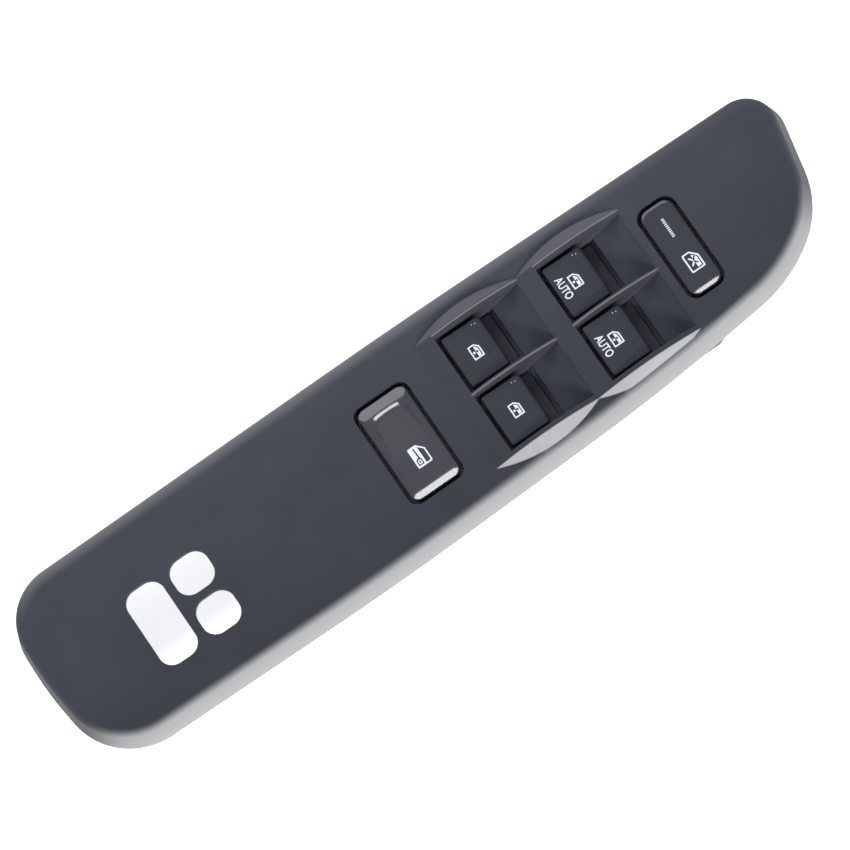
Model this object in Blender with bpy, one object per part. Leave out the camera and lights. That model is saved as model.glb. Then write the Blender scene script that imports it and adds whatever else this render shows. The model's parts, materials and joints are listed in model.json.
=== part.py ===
"""Power window switch panel of a driver's door, modelled in Blender.

Frame: metres, +X along the panel, +Y towards its straight long edge, +Z up.
The origin lies under the middle of the panel, on the flat base of the switch module.
"""

import math

import bmesh
import bpy
from mathutils import Matrix, Vector

MM = 0.001
CLEAR = 0.3 * MM

# Panel section
PANEL_TOP = 27.0 * MM
FLANGE_HEIGHT = 13.0 * MM
PANEL_WALL = 2.2 * MM
FLANGE_DRAFT = math.radians(8.0)
TOP_FILLET = 3.0 * MM
CUT_OUT_CHAMFER = 0.5 * MM
RIB_HEIGHT = 3.0 * MM
RIBS_FROM_TAIL = (29.0 * MM, 79.0 * MM, 103.0 * MM)
OUTLINE_STEPS = 7

# Window block: two columns of two buttons
FIN = 1.6 * MM
APERTURE_LENGTH = 21.0 * MM
APERTURE_WIDTH = 22.2 * MM
APERTURE_FILLET = 1.0 * MM
WELL_LENGTH = 11.3 * MM
LAND_BETWEEN_COLUMNS = 7.4 * MM
FIRST_COLUMN_X = 17.3 * MM
COLUMN_PITCH = APERTURE_LENGTH + WELL_LENGTH + LAND_BETWEEN_COLUMNS
COLUMN_X = (FIRST_COLUMN_X, FIRST_COLUMN_X + COLUMN_PITCH)
BLOCK_MIDDLE_Y = -1.6 * MM
ROW_PITCH = APERTURE_WIDTH + FIN
ROW_Y = (BLOCK_MIDDLE_Y + ROW_PITCH / 2, BLOCK_MIDDLE_Y - ROW_PITCH / 2)
WELL_DEPTH = 5.4 * MM
WELL_LIP_Z = PANEL_TOP - WELL_DEPTH
WELL_CURVE = 1.35
COLLAR_BOTTOM = 18.3 * MM
HUMP_HEIGHT = 3.1 * MM
HUMP_SLOPE_RUN = 4.5 * MM
HUMP_ROOT = 0.5 * MM
HUMP_SHOULDER_LEAN = math.radians(35.0)
HUMP_OVERHANG = 7.7 * MM
HUMP_OVERLAP = 1.7 * MM
HUMP_LENGTH = COLUMN_PITCH + HUMP_OVERLAP
HUMP_STEPS = 14

# Window buttons, measured from their pivot
PIVOT_SET_BACK = 8.6 * MM
PIVOT_Z = 21.3 * MM
BUTTON_GAP = 1.2 * MM
BUTTON_TOP = 6.7 * MM
BUTTON_NOSE = 7.5 * MM
BUTTON_TONGUE = 11.1 * MM
BUTTON_SKIRT = -2.6 * MM
TONGUE_TOP = -1.1 * MM
NOSE_RADIUS = 1.5 * MM
UNDERCUT_X = 5.6 * MM
UNDERCUT_RADIUS = 1.6 * MM
BUTTON_WALL = 1.3 * MM
BUTTON_ROOF = 1.6 * MM
BUTTON_EDGE = 0.8 * MM
FOOT_X = 4.6 * MM
FOOT_THICKNESS = 1.5 * MM
FOOT_WIDTH = 6.0 * MM
RIDGE_X = (3.9 * MM, 5.75 * MM)
RIDGE_WIDTH = 0.5 * MM
RIDGE_HEIGHT = 0.25 * MM
RIDGE_LENGTH = 13.0 * MM
TRUNNION_RADIUS = 1.2 * MM

# Door lock rocker
ROCKER_CUT_WIDTH = 21.0 * MM
ROCKER_TO_COLUMN = 25.9 * MM
ROCKER_X = FIRST_COLUMN_X - ROCKER_TO_COLUMN
ROCKER_Y = -2.05 * MM
ROCKER_CUT_LENGTH = 38.9 * MM
ROCKER_CUT_FILLET = 3.6 * MM
ROCKER_GAP = 1.25 * MM
ROCKER_TOP = 28.0 * MM
ROCKER_SKIRT = 18.9 * MM
ROCKER_WALL = 1.4 * MM
ROCKER_ROOF = 1.8 * MM
ROCKER_PIVOT_Z = 20.5 * MM
ROCKER_FOOT_Y = 9.0 * MM
ROCKER_PIN_RADIUS = 1.0 * MM
ROCKER_EDGE = 1.2 * MM
ROCKER_FRONT_RADIUS = 3.6 * MM
ROCKER_BACK_DROP = 1.8 * MM
ROCKER_BACK_SLOPE = 4.2 * MM
SCOOP_WIDTH = 13.7 * MM
SCOOP_DEPTH = 1.5 * MM
SCOOP_END = 4.5 * MM
SCOOP_END_WALL = 2.4 * MM
SCOOP_LENGTH = 21.0 * MM
SCOOP_CORNER = 3.0 * MM
EAR_THICKNESS = 2.0 * MM
EAR_RADIUS = 2.4 * MM
EAR_BASE = 8.0 * MM

# Window lock-out button
COLUMN_TO_LOCKOUT = 42.8 * MM
LOCKOUT_X = COLUMN_X[1] + COLUMN_TO_LOCKOUT
LOCKOUT_Y = 0.2 * MM
LOCKOUT_CUT_WIDTH = 14.4 * MM
LOCKOUT_CUT_LENGTH = 36.0 * MM
LOCKOUT_CUT_FILLET = 4.2 * MM
LOCKOUT_GAP = 1.2 * MM
LOCKOUT_TOP = 28.0 * MM
LOCKOUT_SKIRT = 19.3 * MM
LOCKOUT_WALL = 1.4 * MM
LOCKOUT_ROOF = 1.8 * MM
LOCKOUT_EDGE = 1.6 * MM
LOCKOUT_STEM_RADIUS = 2.0 * MM
LOCKOUT_LAMP_SHIFT = -11.0 * MM
SPRING_RADIUS = 3.4 * MM
SPRING_WIRE = 0.35 * MM
SPRING_TURNS = 4
SPRING_SIDES = 12

# Switch module under the panel
MODULE_TAIL_MARGIN = 4.9 * MM
MODULE_NOSE_MARGIN = 3.0 * MM
MODULE_SIDE_MARGIN = 1.8 * MM
MODULE_TAIL_X = ROCKER_X - ROCKER_CUT_WIDTH / 2 - MODULE_TAIL_MARGIN
MODULE_NOSE_X = LOCKOUT_X + LOCKOUT_CUT_WIDTH / 2 + MODULE_NOSE_MARGIN
MODULE_SIDE_Y = ROW_PITCH / 2 + APERTURE_WIDTH / 2 - BLOCK_MIDDLE_Y + MODULE_SIDE_MARGIN
MODULE_CHAMFER_X = 17.0 * MM
MODULE_CHAMFER_Y = 6.5 * MM
MODULE_CORNER = 2.0 * MM
HOUSING_WALL = 1.6 * MM
COVER_PLATE = 2.0 * MM
DECK_BOTTOM = 13.0 * MM
DECK_TOP = 15.0 * MM
TOWER_HALF_X = 2.6 * MM
TOWER_WALL = 1.2 * MM
TOWER_END_WALL = 1.6 * MM
TOWER_RISE = 2.0 * MM
SNAP_WIDTH = 6.0 * MM
SNAP_BOTTOM = 3.2 * MM
SNAP_TOP = 4.5 * MM
SNAP_NOSE = 0.5 * MM
SNAP_PLACES = (0.09, 0.45, 0.78)
COVER_RIM = 1.4 * MM
COVER_RIB = 1.4 * MM

# Panel outline, seen from above
TAIL_REACH = 142.3 * MM
NOSE_REACH = 43.8 * MM
SIDE_REACH = 9.1 * MM
TAIL_X = ROCKER_X - TAIL_REACH
NOSE_X = MODULE_NOSE_X + NOSE_REACH
PANEL_WIDTH = 2 * (MODULE_SIDE_Y + SIDE_REACH)
TAIL_BOW_Y = 0.8 * MM
TAIL_BOW_REACH = 8.0 * MM
TAIL_FRONT_LEAN = 3.9 * MM
TAIL_FRONT_TAPER = 1.4 * MM
TAIL_FRONT_RADIUS = 24.9 * MM
TAIL_BACK_LEAN = 0.8 * MM
TAIL_BACK_TAPER = 0.8 * MM
TAIL_BACK_RADIUS = 20.5 * MM
NOSE_BACK_DROP = 2.5 * MM
NOSE_BACK_RADIUS = 12.5 * MM
NOSE_LEAN = 9.3 * MM
NOSE_TIP_RADIUS = 32.4 * MM
NOSE_SWEEP_LENGTH = 22.9 * MM
NOSE_SWEEP_RISE = 14.1 * MM
NOSE_FRONT_TAPER = 8.8 * MM
NOSE_FRONT_REACH = 11.3 * MM
FRONT_CURVE_TO_NOSE = 52.8 * MM
FRONT_CURVE_TAPER = 2.9 * MM
FRONT_CURVE_REACH = 28.9 * MM
FRONT_BEND_TO_CURVE = 105.8 * MM
FRONT_BEND_REACH = 27.0 * MM
BACK_BEND_TO_NOSE = 141.3 * MM
BACK_BEND_REACH = 29.2 * MM

# Open holes at the tail
HOLE_FILLET = 5.0 * MM
HOLE_WIDTH = 14.0 * MM
SQUARE_HOLE_LENGTH = 13.4 * MM
SQUARE_HOLE_Y = (3.45 * MM, -12.5 * MM)
SLOT_LENGTH = 29.4 * MM
SLOT_FROM_TAIL = 43.6 * MM
SLOT_X = TAIL_X + SLOT_FROM_TAIL
SLOT_Y = -4.7 * MM
HOLE_BRIDGE = 3.2 * MM
SQUARE_HOLE_X = SLOT_X + HOLE_WIDTH + HOLE_BRIDGE

# Circuit board, domes and plungers
BOARD_BOTTOM = 5.0 * MM
BOARD_THICKNESS = 1.6 * MM
MAT_THICKNESS = 1.1 * MM
DOME_RADIUS = 3.6 * MM
DOME_TOP_RADIUS = 2.2 * MM
DOME_HEIGHT = 2.9 * MM
DOME_SKIN = 0.6 * MM
DOME_CROWN = 0.8 * MM
MAT_SET_IN = 4.0 * MM
MAT_SIDE_MARGIN = 8.4 * MM
PLUNGER_RADIUS = 1.5 * MM
PLUNGER_FOOT_RADIUS = 2.1 * MM
PLUNGER_FOOT = 0.8 * MM
PLUNGER_TOP = DECK_TOP + 2.0 * MM
PEG_RADIUS = 1.4 * MM
PEG_REACH = 1.2 * MM
PEG_SIDE_MARGIN = 6.4 * MM
LAMP_WINDOW_RADIUS = 1.8 * MM
LAMP_SIZE = 3.0 * MM
LAMP_HEIGHT = 1.2 * MM
CHIP_SIZE = 12.0 * MM
CHIP_HEIGHT = 1.6 * MM

# Connector
PIN_COUNT = 8
PIN_PITCH = 2.5 * MM
PIN_SIZE = 0.64 * MM
PIN_BEND_ROOM = 1.6 * MM
PIN_TAIL = 1.2 * MM
PIN_SET_BACK = 4.0 * MM
SHROUD_REACH = 10.0 * MM
SHROUD_DEPTH = 20.0 * MM
SHROUD_SIDE_ROOM = 1.0 * MM
SHROUD_WIDTH = PIN_COUNT * PIN_PITCH + 2 * SHROUD_SIDE_ROOM
SHROUD_WALL = 0.8 * MM
SHROUD_BACK = 2.4 * MM

# Screws and clips
LUG_RADIUS = 4.5 * MM
LUG_THICKNESS = 2.4 * MM
LUG_TOP = 16.0 * MM
LUG_REACH = 6.0 * MM
LUG_SIDE_MARGIN = 9.4 * MM
NOSE_LUG_SHIFT = 6.0 * MM
SCREW_RADIUS = 1.25 * MM
SCREW_HEAD_RADIUS = 2.6 * MM
SCREW_HEAD = 1.8 * MM
SCREW_BITE = 5.5 * MM
CROSS_LENGTH = 3.0 * MM
CROSS_WIDTH = 0.7 * MM
CROSS_DEPTH = 1.0 * MM
BOSS_RADIUS = 3.2 * MM
TAIL_CLIP_SET_IN = 18.9 * MM
NOSE_CLIP_SET_IN = 21.8 * MM
TAIL_CLIP_Y = (15.0 * MM, -15.0 * MM)
NOSE_CLIP_Y = (20.0 * MM, -4.0 * MM)
TAB_WIDTH = 8.0 * MM
TAB_THICKNESS = 1.8 * MM
TAB_BOTTOM = 7.0 * MM
CLIP_WIDTH = 6.0 * MM
CLIP_SHEET = 0.5 * MM
CLIP_ARM = 6.0 * MM
CLIP_SPREAD = 2.6 * MM
CLIP_BOW_Z = 4.5 * MM
CLIP_TIP_Z = 7.2 * MM

ROUND = 16
THIN_ROUND = 12
CUTTER_OVERRUN = 4.0 * MM


def empty_the_scene():
    for thing in list(bpy.data.objects):
        bpy.data.objects.remove(thing, do_unlink=True)


def finish(name, colour, roughness, metallic=0.0):
    """A Principled material."""
    made = bpy.data.materials.new(name)
    made.use_nodes = True
    shader = made.node_tree.nodes["Principled BSDF"]
    shader.inputs["Base Color"].default_value = (*colour, 1.0)
    shader.inputs["Roughness"].default_value = roughness
    shader.inputs["Metallic"].default_value = metallic
    return made


def make_finishes():
    return {
        "panel": finish("panel_plastic", (0.055, 0.058, 0.068), 0.5),
        "button": finish("button_plastic", (0.045, 0.047, 0.054), 0.42),
        "rocker": finish("rocker_plastic", (0.05, 0.052, 0.056), 0.3),
        "housing": finish("housing_plastic", (0.02, 0.02, 0.022), 0.6),
        "board": finish("board_laminate", (0.02, 0.16, 0.07), 0.45),
        "rubber": finish("dome_rubber", (0.62, 0.62, 0.6), 0.75),
        "plunger": finish("plunger_plastic", (0.75, 0.74, 0.7), 0.5),
        "steel": finish("bright_steel", (0.6, 0.6, 0.6), 0.3, 1.0),
        "clip": finish("clip_steel", (0.35, 0.33, 0.3), 0.4, 1.0),
        "tin": finish("tinned_pin", (0.72, 0.7, 0.66), 0.28, 1.0),
        "shroud": finish("shroud_plastic", (0.8, 0.79, 0.74), 0.5),
        "lamp": finish("lamp_body", (0.9, 0.88, 0.75), 0.35),
        "chip": finish("chip_resin", (0.015, 0.015, 0.016), 0.5),
    }


# Outlines

def round_corners(corners, steps=4):
    """Points along a polygon given as (x, y, radius) corners, anticlockwise."""
    points = []
    for index, (x, y, radius) in enumerate(corners):
        here = Vector((x, y))
        before = (Vector(corners[index - 1][:2]) - here).normalized()
        after = (Vector(corners[(index + 1) % len(corners)][:2]) - here).normalized()
        half = before.angle(after) / 2
        centre = here + (before + after).normalized() * radius / math.sin(half)
        first = here + before * radius / math.tan(half) - centre
        last = here + after * radius / math.tan(half) - centre
        start = math.atan2(first.y, first.x)
        sweep = (math.atan2(last.y, last.x) - start) % math.tau
        for step in range(steps + 1):
            angle = start + sweep * step / steps
            points.append((centre.x + radius * math.cos(angle), centre.y + radius * math.sin(angle)))
    return points


def move_edges_in(corners, inset):
    """The same corners with every edge moved inwards and every radius cut to match."""
    moved = []
    for index, (x, y, radius) in enumerate(corners):
        here = Vector((x, y))
        before = (here - Vector(corners[index - 1][:2])).normalized()
        after = (Vector(corners[(index + 1) % len(corners)][:2]) - here).normalized()
        normal_before = Vector((-before.y, before.x))
        normal_after = Vector((-after.y, after.x))
        shift = (normal_before + normal_after) * inset / (1 + normal_before.dot(normal_after))
        moved.append((here.x + shift.x, here.y + shift.y, max(radius - inset, 0.4 * MM)))
    return moved


def radius_for_reach(before, here, after, reach):
    """Radius of the arc that meets both sides of a corner at one distance from it."""
    first = Vector(before) - Vector(here)
    second = Vector(after) - Vector(here)
    return reach * math.tan(first.angle(second) / 2)


def panel_corners():
    """Corners of the flange's lower edge, from the front tail corner on."""
    back = PANEL_WIDTH / 2
    tail_front = (TAIL_X + TAIL_FRONT_LEAN, TAIL_FRONT_TAPER - back)
    nose_front = (NOSE_X - NOSE_LEAN - NOSE_SWEEP_LENGTH, NOSE_FRONT_TAPER - back)
    front_curve = (nose_front[0] - FRONT_CURVE_TO_NOSE, FRONT_CURVE_TAPER - back)
    front_bend = (front_curve[0] - FRONT_BEND_TO_CURVE, -back)
    nose_tip = (NOSE_X - NOSE_LEAN, nose_front[1] + NOSE_SWEEP_RISE)
    nose_back = (NOSE_X, back - NOSE_BACK_DROP)
    back_bend = (NOSE_X - BACK_BEND_TO_NOSE, back)
    tail_back = (TAIL_X + TAIL_BACK_LEAN, back - TAIL_BACK_TAPER)
    bow = (TAIL_X, TAIL_BOW_Y)
    return [
        (*tail_front, TAIL_FRONT_RADIUS),
        (*front_bend, radius_for_reach(tail_front, front_bend, front_curve, FRONT_BEND_REACH)),
        (*front_curve, radius_for_reach(front_bend, front_curve, nose_front, FRONT_CURVE_REACH)),
        (*nose_front, radius_for_reach(front_curve, nose_front, nose_tip, NOSE_FRONT_REACH)),
        (*nose_tip, NOSE_TIP_RADIUS),
        (*nose_back, NOSE_BACK_RADIUS),
        (*back_bend, radius_for_reach(nose_back, back_bend, tail_back, BACK_BEND_REACH)),
        (*tail_back, TAIL_BACK_RADIUS),
        (*bow, radius_for_reach(tail_back, bow, tail_front, TAIL_BOW_REACH)),
    ]


def panel_ring(inset, z):
    points = round_corners(move_edges_in(panel_corners(), inset), OUTLINE_STEPS)
    return [Vector((x, y, z)) for x, y in points]


def rounded_box(centre_x, centre_y, length_x, length_y, radius, steps=4):
    """Outline of a rectangle with round corners."""
    left = centre_x - length_x / 2
    right = centre_x + length_x / 2
    low = centre_y - length_y / 2
    high = centre_y + length_y / 2
    corners = [(left, low, radius), (right, low, radius), (right, high, radius), (left, high, radius)]
    return round_corners(corners, steps)


def circle(centre_x, centre_y, radius, sides=ROUND):
    turns = [math.tau * n / sides for n in range(sides)]
    return [(centre_x + radius * math.cos(a), centre_y + radius * math.sin(a)) for a in turns]


def arc(centre, radius, start, end, steps):
    angles = [math.radians(start + (end - start) * n / steps) for n in range(steps + 1)]
    return [(centre[0] + radius * math.cos(a), centre[1] + radius * math.sin(a)) for a in angles]


# Solids

def loft(rings):
    """A closed body through rings of equal length, capped at both ends."""
    body = bmesh.new()
    loops = [[body.verts.new(point) for point in ring] for ring in rings]
    body.faces.new(reversed(loops[0]))
    body.faces.new(loops[-1])
    for lower, upper in zip(loops, loops[1:]):
        for index in range(len(lower)):
            following = (index + 1) % len(lower)
            body.faces.new((lower[index], lower[following], upper[following], upper[index]))
    if body.calc_volume(signed=True) < 0:
        bmesh.ops.reverse_faces(body, faces=body.faces)
    body.normal_update()
    return body


def prism_up(outline, bottom, top):
    return loft([[Vector((x, y, z)) for x, y in outline] for z in (bottom, top)])


def prism_across(outline, low, high):
    """An X-Z outline carried along Y."""
    return loft([[Vector((x, y, z)) for x, z in outline] for y in (low, high)])


def prism_along(outline, low, high):
    """A Y-Z outline carried along X."""
    return loft([[Vector((x, y, z)) for y, z in outline] for x in (low, high)])


def block(low, high):
    outline = [(low[0], low[1]), (high[0], low[1]), (high[0], high[1]), (low[0], high[1])]
    return prism_up(outline, low[2], high[2])


def rod_up(x, y, radius, bottom, top, sides=THIN_ROUND):
    return prism_up(circle(x, y, radius, sides), bottom, top)


def turned(profile, centre_x, centre_y, sides=ROUND):
    """A body turned about a vertical axis, from (radius, z) pairs listed upwards."""
    rings = []
    for radius, z in profile:
        rings.append([Vector((x, y, z)) for x, y in circle(centre_x, centre_y, radius, sides)])
    return loft(rings)


def upright(edge):
    return abs(edge.verts[0].co.z - edge.verts[1].co.z) > 0.1 * MM


def round_edges(body, chosen, width, segments=3):
    edges = [edge for edge in body.edges if chosen(edge)]
    bmesh.ops.bevel(body, geom=edges, offset=width, segments=segments, profile=0.5, affect="EDGES")
    return body


def as_object(name, body, material=None, origin=(0.0, 0.0, 0.0)):
    """Turns a bmesh in world coordinates into an object whose origin is where it is told."""
    body.transform(Matrix.Translation(-Vector(origin)))
    mesh = bpy.data.meshes.new(name)
    body.to_mesh(mesh)
    body.free()
    made = bpy.data.objects.new(name, mesh)
    made.location = origin
    bpy.context.collection.objects.link(made)
    if material:
        mesh.materials.append(material)
    return made


def combine(target, body, operation):
    """Unites a bmesh with an object, cuts it out of it, or keeps what they share."""
    tool = as_object(target.name + "_tool", body)
    step = target.modifiers.new("step", "BOOLEAN")
    step.operation = operation
    step.solver = "EXACT"
    step.object = tool
    bpy.context.view_layer.update()
    shaped = target.evaluated_get(bpy.context.evaluated_depsgraph_get())
    result = bpy.data.meshes.new_from_object(shaped)
    target.modifiers.remove(step)
    old = target.data
    target.data = result
    bpy.data.meshes.remove(old)
    bpy.data.objects.remove(tool, do_unlink=True)
    return target


def add(target, body):
    return combine(target, body, "UNION")


def cut(target, body):
    return combine(target, body, "DIFFERENCE")


def shared_by(first, second):
    """The space that two bmeshes share, as a bmesh."""
    common = combine(as_object("common", first), second, "INTERSECT")
    body = bmesh.new()
    body.from_mesh(common.data)
    bpy.data.objects.remove(common, do_unlink=True)
    return body


def smooth_round_faces(thing, limit=30.0):
    thing.data.shade_smooth()
    thing.data.set_sharp_from_angle(angle=math.radians(limit))


# Bezel

def hump_height(along):
    """Height of an arch above the panel, along its length from -1 to 1."""
    return HUMP_HEIGHT * (1 - along * along)


def hump(column_x):
    """One arch of the window block, with sloping flanks at its two sides."""
    centre = column_x - HUMP_OVERHANG + HUMP_LENGTH / 2
    crest_low = ROW_Y[1] - APERTURE_WIDTH / 2 - FIN
    crest_high = ROW_Y[0] + APERTURE_WIDTH / 2 + FIN
    rings = []
    for step in range(HUMP_STEPS + 1):
        along = 2 * step / HUMP_STEPS - 1
        x = centre + along * HUMP_LENGTH / 2
        height = hump_height(along)
        run = (height + HUMP_ROOT) * HUMP_SLOPE_RUN / HUMP_HEIGHT
        rings.append([
            Vector((x, crest_low - run, PANEL_TOP - HUMP_ROOT)),
            Vector((x, crest_low, PANEL_TOP + height)),
            Vector((x, crest_high, PANEL_TOP + height)),
            Vector((x, crest_high + run, PANEL_TOP - HUMP_ROOT)),
        ])
    return loft(rings)


def draft_inset(z):
    return (z - (PANEL_TOP - FLANGE_HEIGHT)) * math.tan(FLANGE_DRAFT)


def shoulder_inset(angle):
    """How far the round shoulder lies inside the flange's lower edge, at an angle up its arc."""
    return draft_inset(PANEL_TOP - TOP_FILLET) + TOP_FILLET * (1 - math.cos(angle))


def panel_outside():
    """Outer skin: drafted flange, round shoulder and flat top."""
    rings = [panel_ring(0.0, PANEL_TOP - FLANGE_HEIGHT)]
    steps = 4
    for step in range(steps + 1):
        angle = math.pi / 2 * step / steps
        z = PANEL_TOP - TOP_FILLET * (1 - math.sin(angle))
        rings.append(panel_ring(shoulder_inset(angle), z))
    return loft(rings)


def hump_envelope():
    """The space that the humps may fill: it carries the shoulder on upwards, leaning inwards."""
    start = shoulder_inset(math.asin(1 - HUMP_ROOT / TOP_FILLET))
    rings = []
    for rise in (-HUMP_HEIGHT, 2 * HUMP_HEIGHT):
        inset = start + (rise + HUMP_ROOT) * math.tan(HUMP_SHOULDER_LEAN)
        rings.append(panel_ring(inset, PANEL_TOP + rise))
    return loft(rings)


def panel_hollow():
    """The space inside the flange and under the top."""
    bottom = PANEL_TOP - FLANGE_HEIGHT
    roof = PANEL_TOP - PANEL_WALL
    bend = roof - 1.5 * MM
    return loft([
        panel_ring(PANEL_WALL - 0.1 * MM, bottom - 1.0 * MM),
        panel_ring(PANEL_WALL + draft_inset(bend), bend),
        panel_ring(PANEL_WALL + draft_inset(roof) + 1.4 * MM, roof),
    ])


def pocket(column_x, row_y):
    """A button's aperture and the ramp down which a finger reaches its front."""
    edge = column_x + APERTURE_LENGTH
    above = PANEL_TOP + 2 * HUMP_HEIGHT
    below = COLLAR_BOTTOM - CUTTER_OVERRUN
    outline = [(column_x, below), (edge, below)]
    steps = 6
    for step in range(steps + 1):
        share = step / steps
        rise = WELL_DEPTH * share ** WELL_CURVE
        outline.append((edge + WELL_LENGTH * share, WELL_LIP_Z + rise))
    outline += [(edge + WELL_LENGTH, above), (column_x, above)]
    half = APERTURE_WIDTH / 2
    body = prism_across(outline, row_y - half, row_y + half)

    def at_the_rear(edge):
        return all(abs(vert.co.x - column_x) < 0.01 * MM for vert in edge.verts) and upright(edge)

    return round_edges(body, at_the_rear, APERTURE_FILLET, 2)


def well_relief(column_x, row_y):
    """The space under a ramp, so that its wall keeps the panel's thickness."""
    start = column_x + APERTURE_LENGTH + FIN
    end = start + WELL_LENGTH - FIN
    roof = PANEL_TOP - PANEL_WALL
    low_roof = WELL_LIP_Z - PANEL_WALL + 1.0 * MM
    outline = [
        (start, COLLAR_BOTTOM - 1.0 * MM),
        (end + 3.0 * MM, COLLAR_BOTTOM - 1.0 * MM),
        (end + 3.0 * MM, roof),
        (end - 1.5 * MM, roof),
        (start + WELL_LENGTH * 0.4, low_roof + 1.3 * MM),
        (start, low_roof),
    ]
    half = APERTURE_WIDTH / 2
    return prism_across(outline, row_y - half, row_y + half)


def window_block_walls(column_x):
    """Solid stock under one column, from which apertures and wells are cut."""
    low = ROW_Y[1] - APERTURE_WIDTH / 2 - FIN
    high = ROW_Y[0] + APERTURE_WIDTH / 2 + FIN
    left = column_x - FIN
    right = column_x + APERTURE_LENGTH + WELL_LENGTH + FIN
    return block((left, low, COLLAR_BOTTOM), (right, high, PANEL_TOP - PANEL_WALL / 2))


def collar(centre_x, centre_y, width, length, radius):
    """A guide wall round a cut-out, hanging from the panel's underside."""
    outline = rounded_box(centre_x, centre_y, width + 2 * FIN, length + 2 * FIN, radius + FIN)
    return prism_up(outline, COLLAR_BOTTOM, PANEL_TOP - PANEL_WALL / 2)


def through_cut(centre_x, centre_y, width, length, radius):
    """A cut-out with a small chamfer round its upper edge."""
    rings = []
    overrun = 2 * HUMP_HEIGHT
    levels = (COLLAR_BOTTOM - CUTTER_OVERRUN, PANEL_TOP - CUT_OUT_CHAMFER, PANEL_TOP + overrun)
    for z, flare in zip(levels, (0.0, 0.0, CUT_OUT_CHAMFER + overrun)):
        outline = rounded_box(centre_x, centre_y, width + 2 * flare, length + 2 * flare, radius + flare)
        rings.append([Vector((x, y, z)) for x, y in outline])
    return loft(rings)


def screw_places():
    tail = MODULE_TAIL_X - LUG_REACH
    nose = MODULE_NOSE_X + LUG_REACH
    side = MODULE_SIDE_Y - LUG_SIDE_MARGIN
    return [(tail, side), (tail, -side), (nose, side), (nose, NOSE_LUG_SHIFT - side)]


def screw_boss(x, y):
    return rod_up(x, y, BOSS_RADIUS, LUG_TOP + CLEAR, PANEL_TOP - PANEL_WALL / 2, ROUND)


def pilot_hole(x, y):
    return rod_up(x, y, SCREW_RADIUS + CLEAR, LUG_TOP - CLEAR, LUG_TOP + SCREW_BITE + 2 * CLEAR, ROUND)


def clip_places():
    tail = TAIL_X + TAIL_CLIP_SET_IN
    nose = NOSE_X - NOSE_CLIP_SET_IN
    return [(tail, y) for y in TAIL_CLIP_Y] + [(nose, y) for y in NOSE_CLIP_Y]


def clip_tab(x, y):
    low = (x - TAB_WIDTH / 2, y - TAB_THICKNESS / 2, TAB_BOTTOM)
    high = (x + TAB_WIDTH / 2, y + TAB_THICKNESS / 2, PANEL_TOP - PANEL_WALL / 2)
    return block(low, high)


def stiffening_rib(from_tail):
    """A low rib across the underside of the tail."""
    x = TAIL_X + from_tail
    reach = PANEL_WIDTH / 2 - 2 * TOP_FILLET
    low = (x - FIN / 2, -reach, PANEL_TOP - PANEL_WALL - RIB_HEIGHT)
    high = (x + FIN / 2, reach, PANEL_TOP - PANEL_WALL / 2)
    return block(low, high)


def make_bezel(material):
    bezel = as_object("bezel", panel_outside(), material)
    cut(bezel, panel_hollow())
    for x in COLUMN_X:
        add(bezel, shared_by(hump(x), hump_envelope()))
        add(bezel, window_block_walls(x))
    add(bezel, collar(ROCKER_X, ROCKER_Y, ROCKER_CUT_WIDTH, ROCKER_CUT_LENGTH, ROCKER_CUT_FILLET))
    add(bezel, collar(LOCKOUT_X, LOCKOUT_Y, LOCKOUT_CUT_WIDTH, LOCKOUT_CUT_LENGTH, LOCKOUT_CUT_FILLET))
    for x, y in screw_places():
        add(bezel, screw_boss(x, y))
        cut(bezel, pilot_hole(x, y))
    for x, y in clip_places():
        add(bezel, clip_tab(x, y))
    for from_tail in RIBS_FROM_TAIL:
        add(bezel, stiffening_rib(from_tail))
    for x in COLUMN_X:
        for y in ROW_Y:
            cut(bezel, pocket(x, y))
            cut(bezel, well_relief(x, y))
    cut(bezel, through_cut(ROCKER_X, ROCKER_Y, ROCKER_CUT_WIDTH, ROCKER_CUT_LENGTH, ROCKER_CUT_FILLET))
    cut(bezel, through_cut(LOCKOUT_X, LOCKOUT_Y, LOCKOUT_CUT_WIDTH, LOCKOUT_CUT_LENGTH, LOCKOUT_CUT_FILLET))
    cut(bezel, through_cut(SLOT_X, SLOT_Y, HOLE_WIDTH, SLOT_LENGTH, HOLE_FILLET))
    for y in SQUARE_HOLE_Y:
        cut(bezel, through_cut(SQUARE_HOLE_X, y, HOLE_WIDTH, SQUARE_HOLE_LENGTH, HOLE_FILLET))
    smooth_round_faces(bezel)
    return bezel


# Window buttons

def pivot_x(column_x):
    return column_x + PIVOT_SET_BACK


def button_profile():
    """Side view of a button about its pivot: skirt, tongue, undercut, nose and top."""
    rear = BUTTON_GAP - PIVOT_SET_BACK
    tongue_corner = TONGUE_TOP - BUTTON_SKIRT
    outline = [(rear, BUTTON_SKIRT), (BUTTON_TONGUE - 0.4 * MM, BUTTON_SKIRT)]
    outline += [(BUTTON_TONGUE, BUTTON_SKIRT + tongue_corner / 3), (BUTTON_TONGUE - 0.3 * MM, TONGUE_TOP)]
    outline += arc((UNDERCUT_X + UNDERCUT_RADIUS, TONGUE_TOP + UNDERCUT_RADIUS), UNDERCUT_RADIUS, 270, 180, 4)
    lip = BUTTON_TOP - 1.6 * NOSE_RADIUS
    outline += [(UNDERCUT_X, lip - NOSE_RADIUS + 0.2 * MM), (BUTTON_NOSE - NOSE_RADIUS / 3, lip)]
    outline += arc((BUTTON_NOSE - NOSE_RADIUS, BUTTON_TOP - NOSE_RADIUS), NOSE_RADIUS, -10, 90, 4)
    outline += arc((rear + BUTTON_EDGE, BUTTON_TOP - BUTTON_EDGE), BUTTON_EDGE, 90, 180, 3)
    return outline


def button_half_width():
    return APERTURE_WIDTH / 2 - BUTTON_GAP


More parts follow.
